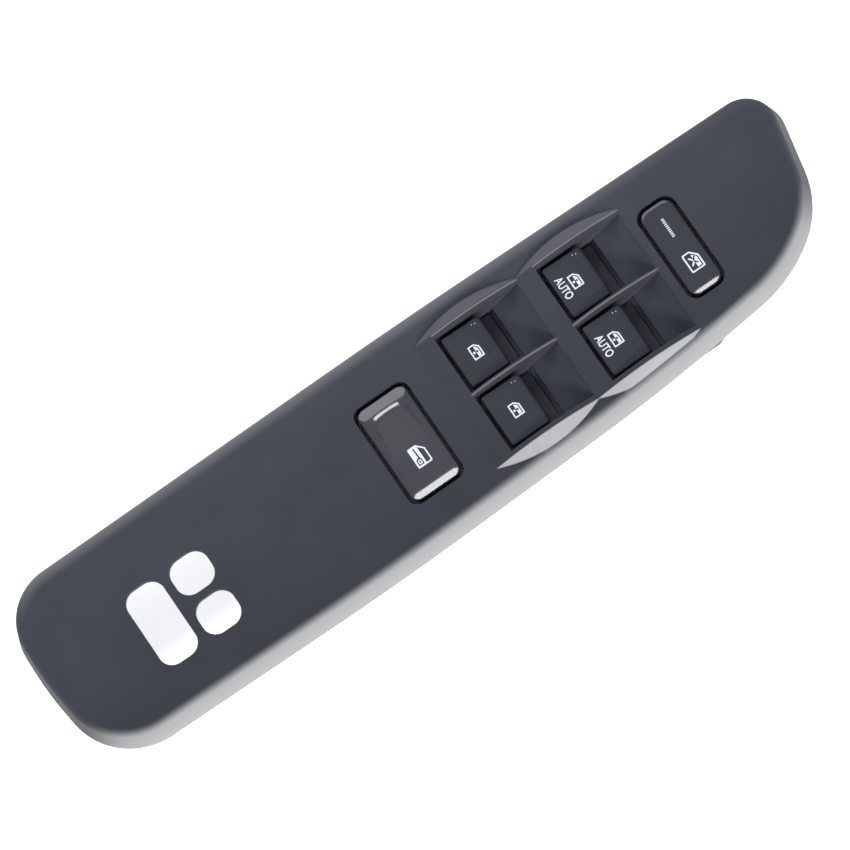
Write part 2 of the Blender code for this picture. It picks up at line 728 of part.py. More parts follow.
def foot(x, y, length, width, top):
    """A pusher under a button, standing just clear of its plunger."""
    low = (x - length / 2, y - width / 2, PLUNGER_TOP + CLEAR)
    return block(low, (x + length / 2, y + width / 2, top))


def make_window_button(name, column_x, row_y, material):
    centre_x = pivot_x(column_x)
    half = button_half_width()
    outline = [(centre_x + x, PIVOT_Z + z) for x, z in button_profile()]
    body = prism_across(outline, row_y - half, row_y + half)
    crown = PIVOT_Z + BUTTON_TOP / 2

    def at_the_sides(edge):
        same_side = abs(edge.verts[0].co.y - edge.verts[1].co.y) < 0.01 * MM
        return same_side and min(vert.co.z for vert in edge.verts) > crown

    round_edges(body, at_the_sides, BUTTON_EDGE, 2)
    button = as_object(name, body, material, (centre_x, row_y, PIVOT_Z))
    inner = half - BUTTON_WALL
    rear = centre_x + BUTTON_GAP - PIVOT_SET_BACK + BUTTON_WALL
    roof = PIVOT_Z + BUTTON_TOP - BUTTON_ROOF
    front = centre_x + UNDERCUT_X - BUTTON_WALL
    cut(button, block((rear, row_y - inner, DECK_TOP), (front, row_y + inner, roof)))
    for side in (-1, 1):
        add(button, foot(centre_x + side * FOOT_X, row_y, FOOT_THICKNESS, FOOT_WIDTH, roof + BUTTON_ROOF / 2))
    for offset in RIDGE_X:
        low = (centre_x + offset - RIDGE_WIDTH / 2, row_y - RIDGE_LENGTH / 2, roof + BUTTON_ROOF / 2)
        top = PIVOT_Z + BUTTON_TOP + RIDGE_HEIGHT
        high = (centre_x + offset + RIDGE_WIDTH / 2, row_y + RIDGE_LENGTH / 2, top)
        add(button, block(low, high))
    bore = circle(centre_x, PIVOT_Z, TRUNNION_RADIUS + CLEAR, THIN_ROUND)
    cut(button, prism_across(bore, row_y - half - CLEAR, row_y + half + CLEAR))
    smooth_round_faces(button)
    return button


# Door lock rocker

def rocker_profile(half_y):
    """Side view of the rocker: a slope at its back end and a large radius at its front end."""
    shoulder = ROCKER_TOP - ROCKER_BACK_DROP - ROCKER_EDGE
    slope = math.degrees(math.atan2(ROCKER_BACK_DROP, ROCKER_BACK_SLOPE))
    profile = [(-half_y, ROCKER_SKIRT), (half_y, ROCKER_SKIRT)]
    profile += arc((half_y - ROCKER_EDGE, shoulder), ROCKER_EDGE, 0, 90 - slope, 3)
    profile += [(half_y - ROCKER_BACK_SLOPE, ROCKER_TOP)]
    centre = (ROCKER_FRONT_RADIUS - half_y, ROCKER_TOP - ROCKER_FRONT_RADIUS)
    profile += arc(centre, ROCKER_FRONT_RADIUS, 90, 180, 5)
    return [(ROCKER_Y + y, z) for y, z in profile]


def scoop_space(back_y):
    """A long finger scoop, shallow at the front, with a steep round end at the back."""
    end = back_y - SCOOP_END
    above = ROCKER_TOP + SCOOP_DEPTH
    trough = [(end - SCOOP_LENGTH * run, ROCKER_TOP - SCOOP_DEPTH * fall)
              for run, fall in ((1.0, 0.0), (0.6, 0.45), (0.3, 0.85))]
    trough += [(end - SCOOP_END_WALL * run, ROCKER_TOP - SCOOP_DEPTH * fall)
               for run, fall in ((1.0, 1.0), (0.55, 0.75), (0.0, 0.0))]
    trough += [(end + SCOOP_END_WALL, above), (end - SCOOP_LENGTH, above)]
    length = SCOOP_LENGTH + 2 * SCOOP_CORNER
    plan = rounded_box(ROCKER_X, end - length / 2, SCOOP_WIDTH, length, SCOOP_CORNER)
    across = prism_along(trough, ROCKER_X - SCOOP_WIDTH, ROCKER_X + SCOOP_WIDTH)
    return shared_by(across, prism_up(plan, ROCKER_TOP - 2 * SCOOP_DEPTH, above + SCOOP_DEPTH))


def make_lock_rocker(material):
    half_x = ROCKER_CUT_WIDTH / 2 - ROCKER_GAP
    half_y = ROCKER_CUT_LENGTH / 2 - ROCKER_GAP
    body = prism_along(rocker_profile(half_y), ROCKER_X - half_x, ROCKER_X + half_x)

    def along_the_top(edge):
        same_side = abs(edge.verts[0].co.x - edge.verts[1].co.x) < 0.01 * MM
        return same_side and min(vert.co.z for vert in edge.verts) > ROCKER_SKIRT + 2.0 * MM

    round_edges(body, along_the_top, ROCKER_EDGE, 3)
    rocker = as_object("lock_rocker", body, material, (ROCKER_X, ROCKER_Y, ROCKER_PIVOT_Z))
    cut(rocker, scoop_space(ROCKER_Y + half_y))
    inner_x = half_x - ROCKER_WALL
    inner_y = half_y - ROCKER_WALL
    roof = ROCKER_TOP - SCOOP_DEPTH - ROCKER_ROOF
    low = (ROCKER_X - inner_x, ROCKER_Y - inner_y, DECK_TOP)
    cut(rocker, block(low, (ROCKER_X + inner_x, ROCKER_Y + inner_y, roof)))
    for side in (-1, 1):
        y = ROCKER_Y + side * ROCKER_FOOT_Y
        add(rocker, foot(ROCKER_X, y, FOOT_WIDTH, FOOT_THICKNESS, roof + ROCKER_ROOF / 2))
    bore = circle(ROCKER_Y, ROCKER_PIVOT_Z, ROCKER_PIN_RADIUS + CLEAR, THIN_ROUND)
    cut(rocker, prism_along(bore, ROCKER_X - half_x - CLEAR, ROCKER_X + half_x + CLEAR))
    smooth_round_faces(rocker)
    return rocker


def make_rocker_pin(material):
    reach = ROCKER_CUT_WIDTH / 2 - ROCKER_GAP - CLEAR
    outline = circle(ROCKER_Y, ROCKER_PIVOT_Z, ROCKER_PIN_RADIUS, THIN_ROUND)
    pin = as_object("lock_rocker_pin", prism_along(outline, ROCKER_X - reach, ROCKER_X + reach), material)
    smooth_round_faces(pin)
    return pin


# Lock-out button

def make_lockout_button(material):
    width = LOCKOUT_CUT_WIDTH - 2 * LOCKOUT_GAP
    length = LOCKOUT_CUT_LENGTH - 2 * LOCKOUT_GAP
    radius = LOCKOUT_CUT_FILLET - LOCKOUT_GAP
    outline = rounded_box(LOCKOUT_X, LOCKOUT_Y, width, length, radius, 4)
    body = prism_up(outline, LOCKOUT_SKIRT, LOCKOUT_TOP)

    def round_the_top(edge):
        return min(vert.co.z for vert in edge.verts) > LOCKOUT_TOP - 0.01 * MM

    round_edges(body, round_the_top, LOCKOUT_EDGE, 3)
    button = as_object("lockout_button", body, material, (LOCKOUT_X, LOCKOUT_Y, LOCKOUT_TOP))
    inside = rounded_box(
        LOCKOUT_X, LOCKOUT_Y, width - 2 * LOCKOUT_WALL, length - 2 * LOCKOUT_WALL, radius - LOCKOUT_WALL, 3)
    roof = LOCKOUT_TOP - LOCKOUT_ROOF
    cut(button, prism_up(inside, DECK_TOP, roof))
    stem_top = roof + LOCKOUT_ROOF / 2
    add(button, rod_up(LOCKOUT_X, LOCKOUT_Y, LOCKOUT_STEM_RADIUS, dome_top() + CLEAR, stem_top))
    smooth_round_faces(button)
    return button


def make_lockout_spring(material):
    """A coil of wire between the deck and the roof of the lock-out button."""
    bottom = DECK_TOP + CLEAR + SPRING_WIRE
    rise = LOCKOUT_TOP - LOCKOUT_ROOF - CLEAR - SPRING_WIRE - bottom
    slope = rise / (math.tau * SPRING_RADIUS * SPRING_TURNS)
    count = round(SPRING_TURNS * SPRING_SIDES)
    rings = []
    for step in range(count + 1):
        angle = math.tau * SPRING_TURNS * step / count
        along = Vector((-math.sin(angle), math.cos(angle), slope)).normalized()
        outward = Vector((math.cos(angle), math.sin(angle), 0.0))
        across = along.cross(outward)
        centre = Vector((LOCKOUT_X, LOCKOUT_Y, bottom + rise * step / count)) + outward * SPRING_RADIUS
        wire = circle(0.0, 0.0, SPRING_WIRE, 6)
        rings.append([centre + outward * a + across * b for a, b in wire])
    spring = as_object("lockout_spring", loft(rings), material)
    smooth_round_faces(spring, 70.0)
    return spring


# Switch module

def module_outline(inset, steps=3):
    corner = MODULE_CORNER
    corners = [
        (MODULE_TAIL_X, -MODULE_SIDE_Y, corner),
        (MODULE_NOSE_X - MODULE_CHAMFER_X, -MODULE_SIDE_Y, corner),
        (MODULE_NOSE_X, -MODULE_SIDE_Y + MODULE_CHAMFER_Y, corner),
        (MODULE_NOSE_X, MODULE_SIDE_Y, corner),
        (MODULE_TAIL_X, MODULE_SIDE_Y, corner),
    ]
    return round_corners(move_edges_in(corners, inset), steps)


def window_places():
    """Name, column and row of each window button."""
    return [
        ("rear_left", COLUMN_X[0], ROW_Y[0]),
        ("rear_right", COLUMN_X[0], ROW_Y[1]),
        ("front_left", COLUMN_X[1], ROW_Y[0]),
        ("front_right", COLUMN_X[1], ROW_Y[1]),
    ]


def plunger_places():
    """Name, X and Y of each plunger."""
    places = []
    for name, column_x, row_y in window_places():
        places.append((name + "_down_plunger", pivot_x(column_x) + FOOT_X, row_y))
        places.append((name + "_up_plunger", pivot_x(column_x) - FOOT_X, row_y))
    places.append(("lock_plunger", ROCKER_X, ROCKER_Y + ROCKER_FOOT_Y))
    places.append(("unlock_plunger", ROCKER_X, ROCKER_Y - ROCKER_FOOT_Y))
    return places


def lamp_places():
    places = [(name + "_lamp", pivot_x(column_x), row_y) for name, column_x, row_y in window_places()]
    places.append(("lock_rocker_lamp", ROCKER_X, ROCKER_Y))
    places.append(("lockout_lamp", LOCKOUT_X, LOCKOUT_Y + LOCKOUT_LAMP_SHIFT))
    return places


def between_switches():
    """X half way between each switch and the next one along the module."""
    centres = (ROCKER_X, pivot_x(COLUMN_X[0]), pivot_x(COLUMN_X[1]), LOCKOUT_X)
    return [(first + second) / 2 for first, second in zip(centres, centres[1:])]


def peg_places():
    side = MODULE_SIDE_Y - PEG_SIDE_MARGIN
    return list(zip(between_switches(), (side, -side, side)))


def board_top():
    return BOARD_BOTTOM + BOARD_THICKNESS


def mat_bottom():
    return board_top() + CLEAR


def dome_top():
    return mat_bottom() + MAT_THICKNESS + DOME_HEIGHT


def tower_half_y():
    return button_half_width() - BUTTON_WALL - CLEAR


def add_tower(housing, column_x, row_y):
    """A hollow light shaft that carries a button on two stub axles."""
    x = pivot_x(column_x)
    half_y = tower_half_y()
    top = PIVOT_Z + TOWER_RISE
    low = (x - TOWER_HALF_X, row_y - half_y, (DECK_BOTTOM + DECK_TOP) / 2)
    add(housing, block(low, (x + TOWER_HALF_X, row_y + half_y, top)))
    reach = button_half_width() - CLEAR
    axle = circle(x, PIVOT_Z, TRUNNION_RADIUS, THIN_ROUND)
    add(housing, prism_across(axle, row_y - reach, row_y + reach))
    inner_x = TOWER_HALF_X - TOWER_WALL
    inner_y = half_y - TOWER_END_WALL
    low = (x - inner_x, row_y - inner_y, DECK_BOTTOM - CLEAR)
    cut(housing, block(low, (x + inner_x, row_y + inner_y, top + CLEAR)))


def add_rocker_ears(housing):
    """Two ears that carry the rocker's pin, inside its side walls."""
    outer = ROCKER_CUT_WIDTH / 2 - ROCKER_GAP - ROCKER_WALL - 2 * CLEAR
    base = (DECK_BOTTOM + DECK_TOP) / 2
    profile = [(ROCKER_Y - EAR_BASE / 2, base), (ROCKER_Y + EAR_BASE / 2, base)]
    profile += arc((ROCKER_Y, ROCKER_PIVOT_Z), EAR_RADIUS, 10, 170, 6)
    for left in (-outer, outer - EAR_THICKNESS):
        add(housing, prism_along(profile, ROCKER_X + left, ROCKER_X + left + EAR_THICKNESS))
    bore = circle(ROCKER_Y, ROCKER_PIVOT_Z, ROCKER_PIN_RADIUS + CLEAR, THIN_ROUND)
    cut(housing, prism_along(bore, ROCKER_X - outer - CLEAR, ROCKER_X + outer + CLEAR))


def add_lug(housing, x, y):
    """A screw lug at an end of the housing."""
    at_tail = x < MODULE_TAIL_X
    wall = MODULE_TAIL_X + HOUSING_WALL / 2 if at_tail else MODULE_NOSE_X - HOUSING_WALL / 2
    bottom = LUG_TOP - LUG_THICKNESS
    left, right = sorted((x, wall))
    add(housing, block((left, y - LUG_RADIUS, bottom), (right, y + LUG_RADIUS, LUG_TOP)))
    add(housing, rod_up(x, y, LUG_RADIUS, bottom, LUG_TOP, ROUND))
    cut(housing, rod_up(x, y, SCREW_RADIUS + CLEAR, bottom - CLEAR, LUG_TOP + CLEAR, ROUND))


def cut_through_deck(housing, x, y, radius):
    cut(housing, rod_up(x, y, radius, DECK_BOTTOM - CLEAR, DECK_TOP + CLEAR))


def snap_places():
    """X of each snap tooth, along both sides of the module."""
    return [MODULE_TAIL_X + share * (MODULE_NOSE_X - MODULE_TAIL_X) for share in SNAP_PLACES]


def snap_window(x, side):
    """The opening in the housing's wall that takes a snap tooth."""
    half = SNAP_WIDTH / 2 + CLEAR
    near, far = sorted((side * (MODULE_SIDE_Y + HOUSING_WALL), side * (MODULE_SIDE_Y - 2 * HOUSING_WALL)))
    return block((x - half, near, SNAP_BOTTOM - CLEAR), (x + half, far, SNAP_TOP + CLEAR))


def snap_tooth(x, side):
    inner = side * (MODULE_SIDE_Y - HOUSING_WALL - CLEAR - SNAP_NOSE)
    outer = side * (MODULE_SIDE_Y - SNAP_NOSE)
    shoulder = (outer, SNAP_BOTTOM + SNAP_NOSE)
    profile = [(inner, SNAP_BOTTOM), (outer, SNAP_BOTTOM), shoulder, (inner, SNAP_TOP)]
    return prism_along(profile, x - SNAP_WIDTH / 2, x + SNAP_WIDTH / 2)


def make_switch_housing(material):
    top = COLLAR_BOTTOM - CLEAR
    housing = as_object("switch_housing", prism_up(module_outline(0.0), COVER_PLATE + CLEAR, top), material)
    cut(housing, prism_up(module_outline(HOUSING_WALL), 0.0, DECK_BOTTOM))
    cut(housing, prism_up(module_outline(HOUSING_WALL), DECK_TOP, top + CLEAR))
    for name, column_x, row_y in window_places():
        add_tower(housing, column_x, row_y)
    add_rocker_ears(housing)
    for x, y in screw_places():
        add_lug(housing, x, y)
    for x, y in peg_places():
        add(housing, rod_up(x, y, PEG_RADIUS, board_top() - PEG_REACH, (DECK_BOTTOM + DECK_TOP) / 2))
    for name, x, y in plunger_places():
        cut_through_deck(housing, x, y, PLUNGER_RADIUS + CLEAR)
    cut_through_deck(housing, LOCKOUT_X, LOCKOUT_Y, LOCKOUT_STEM_RADIUS + CLEAR)
    for name, x, y in lamp_places()[-2:]:
        cut_through_deck(housing, x, y, LAMP_WINDOW_RADIUS)
    half = SHROUD_WIDTH / 2 + CLEAR
    low = (MODULE_TAIL_X - HOUSING_WALL, -half, board_top())
    cut(housing, block(low, (MODULE_TAIL_X + 2 * HOUSING_WALL, half, DECK_BOTTOM)))
    for x in snap_places():
        for side in (-1, 1):
            cut(housing, snap_window(x, side))
    smooth_round_faces(housing)
    return housing


def make_bottom_cover(material):
    """Flat base with a rim inside the housing's wall, snap teeth and board supports."""
    cover = as_object("bottom_cover", prism_up(module_outline(0.0), 0.0, COVER_PLATE), material)
    rim = HOUSING_WALL + CLEAR
    support = BOARD_BOTTOM - CLEAR
    add(cover, prism_up(module_outline(rim), COVER_PLATE / 2, support))
    cut(cover, prism_up(module_outline(rim + COVER_RIM), COVER_PLATE, support + CLEAR))
    for x in snap_places():
        for side in (-1, 1):
            add(cover, snap_tooth(x, side))
    first, second, third = between_switches()
    reach = MODULE_SIDE_Y - rim - COVER_RIM / 2
    for x in (first, pivot_x(COLUMN_X[0]), pivot_x(COLUMN_X[1]), third):
        low = (x - COVER_RIB / 2, -reach, COVER_PLATE / 2)
        add(cover, block(low, (x + COVER_RIB / 2, reach, support)))
    return cover


def make_circuit_board(material):
    outline = module_outline(HOUSING_WALL + CLEAR)
    board = as_object("circuit_board", prism_up(outline, BOARD_BOTTOM, board_top()), material)
    for x, y in peg_places():
        cut(board, rod_up(x, y, PEG_RADIUS + CLEAR, BOARD_BOTTOM - CLEAR, board_top() + CLEAR))
    for x, y in pin_places():
        hole = rounded_box(x, y, PIN_SIZE + 2 * CLEAR, PIN_SIZE + 2 * CLEAR, CLEAR / 2, 1)
        cut(board, prism_up(hole, BOARD_BOTTOM - CLEAR, board_top() + CLEAR))
    return board


def make_dome_mat(material):
    """A rubber sheet with one hollow dome under each plunger and the lock-out stem."""
    left = pin_places()[0][0] + 3.0 * MM
    right = MODULE_NOSE_X - MAT_SET_IN
    bottom = mat_bottom()
    top = bottom + MAT_THICKNESS
    width = 2 * (MODULE_SIDE_Y - MAT_SIDE_MARGIN)
    outline = rounded_box((left + right) / 2, 0.0, right - left, width, 3.0 * MM, 3)
    mat = as_object("rubber_dome_mat", prism_up(outline, bottom, top), material)
    domes = [(x, y) for name, x, y in plunger_places()] + [(LOCKOUT_X, LOCKOUT_Y)]
    outside = [
        (DOME_RADIUS, bottom + MAT_THICKNESS / 2),
        (DOME_RADIUS, top),
        (DOME_TOP_RADIUS, dome_top() - DOME_CROWN),
        (DOME_TOP_RADIUS, dome_top()),
    ]
    inside = [
        (DOME_RADIUS - DOME_SKIN, bottom - CLEAR),
        (DOME_RADIUS - DOME_SKIN, top),
        (DOME_TOP_RADIUS - DOME_SKIN, dome_top() - DOME_CROWN - DOME_SKIN),
    ]
    for x, y in domes:
        add(mat, turned(outside, x, y, THIN_ROUND))
    for x, y in domes:
        cut(mat, turned(inside, x, y, THIN_ROUND))
    room = LAMP_SIZE / 2 + CLEAR
    for name, x, y in lamp_places():
        cut(mat, block((x - room, y - room, bottom - CLEAR), (x + room, y + room, top + CLEAR)))
    smooth_round_faces(mat)
    return mat


def make_plunger(name, x, y, material):
    """A stepped pin in a guide hole of the deck, standing on its dome."""
    bottom = dome_top() + CLEAR
    chamfer = PLUNGER_RADIUS / 5
    profile = [
        (PLUNGER_FOOT_RADIUS, bottom),
        (PLUNGER_FOOT_RADIUS, bottom + PLUNGER_FOOT),
        (PLUNGER_RADIUS, bottom + PLUNGER_FOOT),
        (PLUNGER_RADIUS, PLUNGER_TOP - chamfer),
        (PLUNGER_RADIUS - chamfer, PLUNGER_TOP),
    ]
    plunger = as_object(name, turned(profile, x, y, THIN_ROUND), material, (x, y, bottom))
    smooth_round_faces(plunger)
    return plunger


def make_lamp(name, x, y, material):
    half = LAMP_SIZE / 2
    bottom = board_top() + CLEAR
    body = block((x - half, y - half, bottom), (x + half, y + half, bottom + LAMP_HEIGHT))
    round_edges(body, upright, 0.5 * MM, 1)
    return as_object(name, body, material)


def make_chip(material):
    half = CHIP_SIZE / 2
    x = between_switches()[1]
    top = BOARD_BOTTOM - CLEAR
    body = block((x - half, -half, top - CHIP_HEIGHT), (x + half, half, top))

    def around_the_base(edge):
        return max(vert.co.z for vert in edge.verts) < top - CHIP_HEIGHT + 0.01 * MM

    round_edges(body, around_the_base, 0.4 * MM, 1)
    return as_object("controller_chip", body, material)


# Connector

def pin_places():
    """X and Y of each pin where it goes through the board."""
    x = MODULE_TAIL_X - SHROUD_REACH + SHROUD_DEPTH + PIN_BEND_ROOM
    first = -(PIN_COUNT - 1) * PIN_PITCH / 2
    return [(x, first + n * PIN_PITCH) for n in range(PIN_COUNT)]


def pin_level():
    return (board_top() + DECK_BOTTOM) / 2


def make_connector_shroud(material):
    """A side-facing socket that stands on the board and reaches out of the housing's end."""
    left = MODULE_TAIL_X - SHROUD_REACH
    right = left + SHROUD_DEPTH
    low_z = board_top() + CLEAR
    high_z = DECK_BOTTOM - CLEAR
    half = SHROUD_WIDTH / 2
    shroud = as_object("connector_shroud", block((left, -half, low_z), (right, half, high_z)), material)
    wall = SHROUD_WALL
    low = (left - 1.0 * MM, -half + wall, low_z + wall)
    cut(shroud, block(low, (right - SHROUD_BACK, half - wall, high_z - wall)))
    hole = PIN_SIZE / 2 + CLEAR
    z = pin_level()
    for x, y in pin_places():
        low = (right - SHROUD_BACK - 1.0 * MM, y - hole, z - hole)
        cut(shroud, block(low, (right + 1.0 * MM, y + hole, z + hole)))
    return shroud


def make_pin(name, x, y, material):
    """A square pin, bent down through the board."""
    half = PIN_SIZE / 2
    z = pin_level()
    front = MODULE_TAIL_X - SHROUD_REACH + PIN_SET_BACK
    tip = BOARD_BOTTOM - PIN_TAIL
    outline = [(front, z - half), (x - half, z - half), (x - half, tip), (x + half, tip)]
    outline += [(x + half, z), (x, z + half), (front, z + half)]
    return as_object(name, prism_across(outline, y - half, y + half), material)


# Fasteners

def make_screw(name, x, y, material):
    """A pan-head screw from below the lug into the bezel's boss."""
    seat = LUG_TOP - LUG_THICKNESS - CLEAR
    profile = [
        (SCREW_HEAD_RADIUS - 0.6 * MM, seat - SCREW_HEAD),
        (SCREW_HEAD_RADIUS, seat - SCREW_HEAD + 0.7 * MM),
        (SCREW_HEAD_RADIUS, seat),
        (SCREW_RADIUS, seat),
        (SCREW_RADIUS, LUG_TOP + SCREW_BITE - 0.8 * MM),
        (0.5 * MM, LUG_TOP + SCREW_BITE),
    ]
    screw = as_object(name, turned(profile, x, y, THIN_ROUND), material)
    under = seat - SCREW_HEAD - CLEAR
    inside = seat - SCREW_HEAD + CROSS_DEPTH
    for length, width in ((CROSS_LENGTH, CROSS_WIDTH), (CROSS_WIDTH, CROSS_LENGTH)):
        low = (x - length / 2, y - width / 2, under)
        cut(screw, block(low, (x + length / 2, y + width / 2, inside)))
    smooth_round_faces(screw)
    return screw


def make_clip(name, x, y, material):
    """A folded spring clip pushed up over a tab, with two bowed legs."""
    inner = TAB_THICKNESS / 2 + CLEAR
    bottom = TAB_BOTTOM - CLEAR
    leg_out = inner + CLIP_SPREAD
    tip_out = leg_out - 0.8 * MM
    side = [
        (inner, bottom),
        (inner, bottom + CLIP_ARM),
        (inner + CLIP_SHEET, bottom + CLIP_ARM + CLIP_SHEET),
        (inner + CLIP_SHEET, bottom + CLIP_SHEET),
        (leg_out, bottom + CLIP_BOW_Z),
        (tip_out, bottom + CLIP_TIP_Z),
        (tip_out + CLIP_SHEET, bottom + CLIP_TIP_Z + CLIP_SHEET / 2),
        (leg_out + CLIP_SHEET, bottom + CLIP_BOW_Z),
        (inner + 1.5 * CLIP_SHEET, bottom - CLIP_SHEET),
    ]
    outline = [(y - reach, z) for reach, z in reversed(side)]
    outline += [(y + reach, z) for reach, z in side]
    return as_object(name, prism_along(outline, x - CLIP_WIDTH / 2, x + CLIP_WIDTH / 2), material)


def build():
    empty_the_scene()
    finishes = make_finishes()
    make_bezel(finishes["panel"])
    for name, column_x, row_y in window_places():
        make_window_button("window_button_" + name, column_x, row_y, finishes["button"])
    make_lock_rocker(finishes["rocker"])
    make_rocker_pin(finishes["steel"])
    make_lockout_button(finishes["rocker"])
    make_lockout_spring(finishes["steel"])
    make_switch_housing(finishes["housing"])
    make_bottom_cover(finishes["housing"])
    make_circuit_board(finishes["board"])
    make_dome_mat(finishes["rubber"])
    for name, x, y in plunger_places():
        make_plunger(name, x, y, finishes["plunger"])
    for name, x, y in lamp_places():
        make_lamp(name, x, y, finishes["lamp"])
    make_chip(finishes["chip"])
    make_connector_shroud(finishes["shroud"])
    for number, (x, y) in enumerate(pin_places(), 1):
        make_pin(f"connector_pin_{number}", x, y, finishes["tin"])
    for number, (x, y) in enumerate(screw_places(), 1):
        make_screw(f"housing_screw_{number}", x, y, finishes["steel"])
    for number, (x, y) in enumerate(clip_places(), 1):
        make_clip(f"panel_clip_{number}", x, y, finishes["clip"])


build()
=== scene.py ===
import json
import math
import bpy
import bmesh
from mathutils import Matrix, Vector
from mathutils.geometry import intersect_point_line


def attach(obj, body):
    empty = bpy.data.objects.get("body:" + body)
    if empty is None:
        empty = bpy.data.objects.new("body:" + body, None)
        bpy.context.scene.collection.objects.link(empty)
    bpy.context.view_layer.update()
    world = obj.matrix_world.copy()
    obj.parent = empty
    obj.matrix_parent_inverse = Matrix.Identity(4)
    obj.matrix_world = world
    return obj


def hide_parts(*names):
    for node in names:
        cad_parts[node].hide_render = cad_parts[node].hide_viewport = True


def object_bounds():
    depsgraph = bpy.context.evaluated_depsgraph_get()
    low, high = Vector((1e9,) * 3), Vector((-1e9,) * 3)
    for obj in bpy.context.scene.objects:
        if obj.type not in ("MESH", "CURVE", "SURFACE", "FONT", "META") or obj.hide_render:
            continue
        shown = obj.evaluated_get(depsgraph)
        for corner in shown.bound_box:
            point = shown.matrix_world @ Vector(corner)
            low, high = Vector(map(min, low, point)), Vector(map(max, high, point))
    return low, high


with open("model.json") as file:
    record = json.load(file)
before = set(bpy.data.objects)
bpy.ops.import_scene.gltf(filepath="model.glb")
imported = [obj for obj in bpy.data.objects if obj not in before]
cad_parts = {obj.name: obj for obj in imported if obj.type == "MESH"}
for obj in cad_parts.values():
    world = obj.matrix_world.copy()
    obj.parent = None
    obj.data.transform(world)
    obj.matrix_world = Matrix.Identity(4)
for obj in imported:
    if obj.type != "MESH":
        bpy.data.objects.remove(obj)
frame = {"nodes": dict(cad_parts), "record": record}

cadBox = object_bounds()
mm = 0.001
nodes = frame["nodes"]
print("frame loaded,", len(nodes), "nodes")

# the block of window buttons in mm: rear edge of each column, middle line of each row and of the block
block = {
    "columns": {"rear": 17.3, "front": 57.0},
    "rows": {"left": 10.3, "right": -13.5},
    "middle": -1.6,
    "sides": ("rear_left", "rear_right", "front_left", "front_right"),
}


# small helpers

def deselectAll():
    if bpy.context.object and bpy.context.object.mode != "OBJECT":
        bpy.ops.object.mode_set(mode="OBJECT")
    bpy.ops.object.select_all(action="DESELECT")


def pickOnly(obj):
    deselectAll()
    obj.select_set(True)
    bpy.context.view_layer.objects.active = obj


def editWhole(obj):
    pickOnly(obj)
    bpy.ops.object.mode_set(mode="EDIT")
    bpy.ops.mesh.select_all(action="SELECT")


def applyAll(obj):
    pickOnly(obj)
    for modifier in list(obj.modifiers):
        bpy.ops.object.modifier_apply(modifier=modifier.name)


def linked(name, data):
    obj = bpy.data.objects.new(name, data)
    bpy.context.collection.objects.link(obj)
    return obj


def finishPiece(obj, name, body, material):
    # place goes into the mesh, then the piece gets its name, body and finish
    pickOnly(obj)
    bpy.ops.object.transform_apply(location=True, rotation=True, scale=True)
    obj.name = name
    obj.data.name = name
    obj.data.materials.clear()
    obj.data.materials.append(material)
    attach(obj, body)
    return obj


# camera as in the photo: from above, leaning to the front side and rolled

cameraSetup = {
    "target": (-0.9 * mm, -0.3 * mm, 27 * mm),
    "elevation": 73,
    "roll": 34.6,
    "lens": 500,
    "sensor": 36,
    "wide": 274.8 * mm,      # what the frame covers at the target
}


def makeCamera(setup):
    lean = math.radians(setup["elevation"])
    roll = math.radians(setup["roll"])
    back = Vector((0, -math.cos(lean), math.sin(lean)))
    along = Vector((1, 0, 0))
    up = back.cross(along)
    right = along * math.cos(roll) - up * math.sin(roll)
    top = along * math.sin(roll) + up * math.cos(roll)
    distance = setup["wide"] * setup["lens"] / setup["sensor"]
    place = Vector(setup["target"]) + back * distance
    turn = Matrix((right, top, back)).transposed().to_euler()
    bpy.ops.object.camera_add(location=place, rotation=turn)
    camera = bpy.context.object
    camera.name = "photoCamera"
    camera.data.lens = setup["lens"]
    camera.data.sensor_width = setup["sensor"]
    camera.data.clip_end = 50
    bpy.context.scene.camera = camera


makeCamera(cameraSetup)


# parts of the materials

def newMaterial(name):
    material = bpy.data.materials.new(name)
    material.use_nodes = True
    return material, material.node_tree, material.node_tree.nodes["Principled BSDF"]


def placeIn(tree):
    # the Object coordinates, from one node for the whole material
    node = tree.nodes.get("place")
    if node is None:
        node = tree.nodes.new("ShaderNodeTexCoord")
        node.name = "place"
    return node.outputs["Object"]


def noise(tree, scale, detail, rough):
    node = tree.nodes.new("ShaderNodeTexNoise")
    node.inputs["Scale"].default_value = scale
    node.inputs["Detail"].default_value = detail
    node.inputs["Roughness"].default_value = rough
    tree.links.new(placeIn(tree), node.inputs["Vector"])
    return node.outputs["Fac"]


def ramp(tree, source, first, last):
    # colour ramp between two stops, each a place and a colour
    node = tree.nodes.new("ShaderNodeValToRGB")
    for element, (place, colour) in zip(node.color_ramp.elements, (first, last)):
        element.position = place
        element.color = (*colour, 1)
    tree.links.new(source, node.inputs["Fac"])
    return node.outputs["Color"]


def remap(tree, source, low, high, fromLow=0.0, fromHigh=1.0):
    node = tree.nodes.new("ShaderNodeMapRange")
    node.inputs["From Min"].default_value = fromLow
    node.inputs["From Max"].default_value = fromHigh
    node.inputs["To Min"].default_value = low
    node.inputs["To Max"].default_value = high
    tree.links.new(source, node.inputs["Value"])
    return node.outputs["Result"]


def calc(tree, how, first, second=0):
    node = tree.nodes.new("ShaderNodeMath")
    node.operation = how
    for socket, value in zip(node.inputs, (first, second)):
        if isinstance(value, (int, float)):
            socket.default_value = value
        else:
            tree.links.new(value, socket)
    return node.outputs[0]


def scaled(tree, colour, amount):
    node = tree.nodes.new("ShaderNodeVectorMath")
    node.operation = "SCALE"
    tree.links.new(colour, node.inputs[0])
    tree.links.new(amount, node.inputs["Scale"])
    return node.outputs[0]


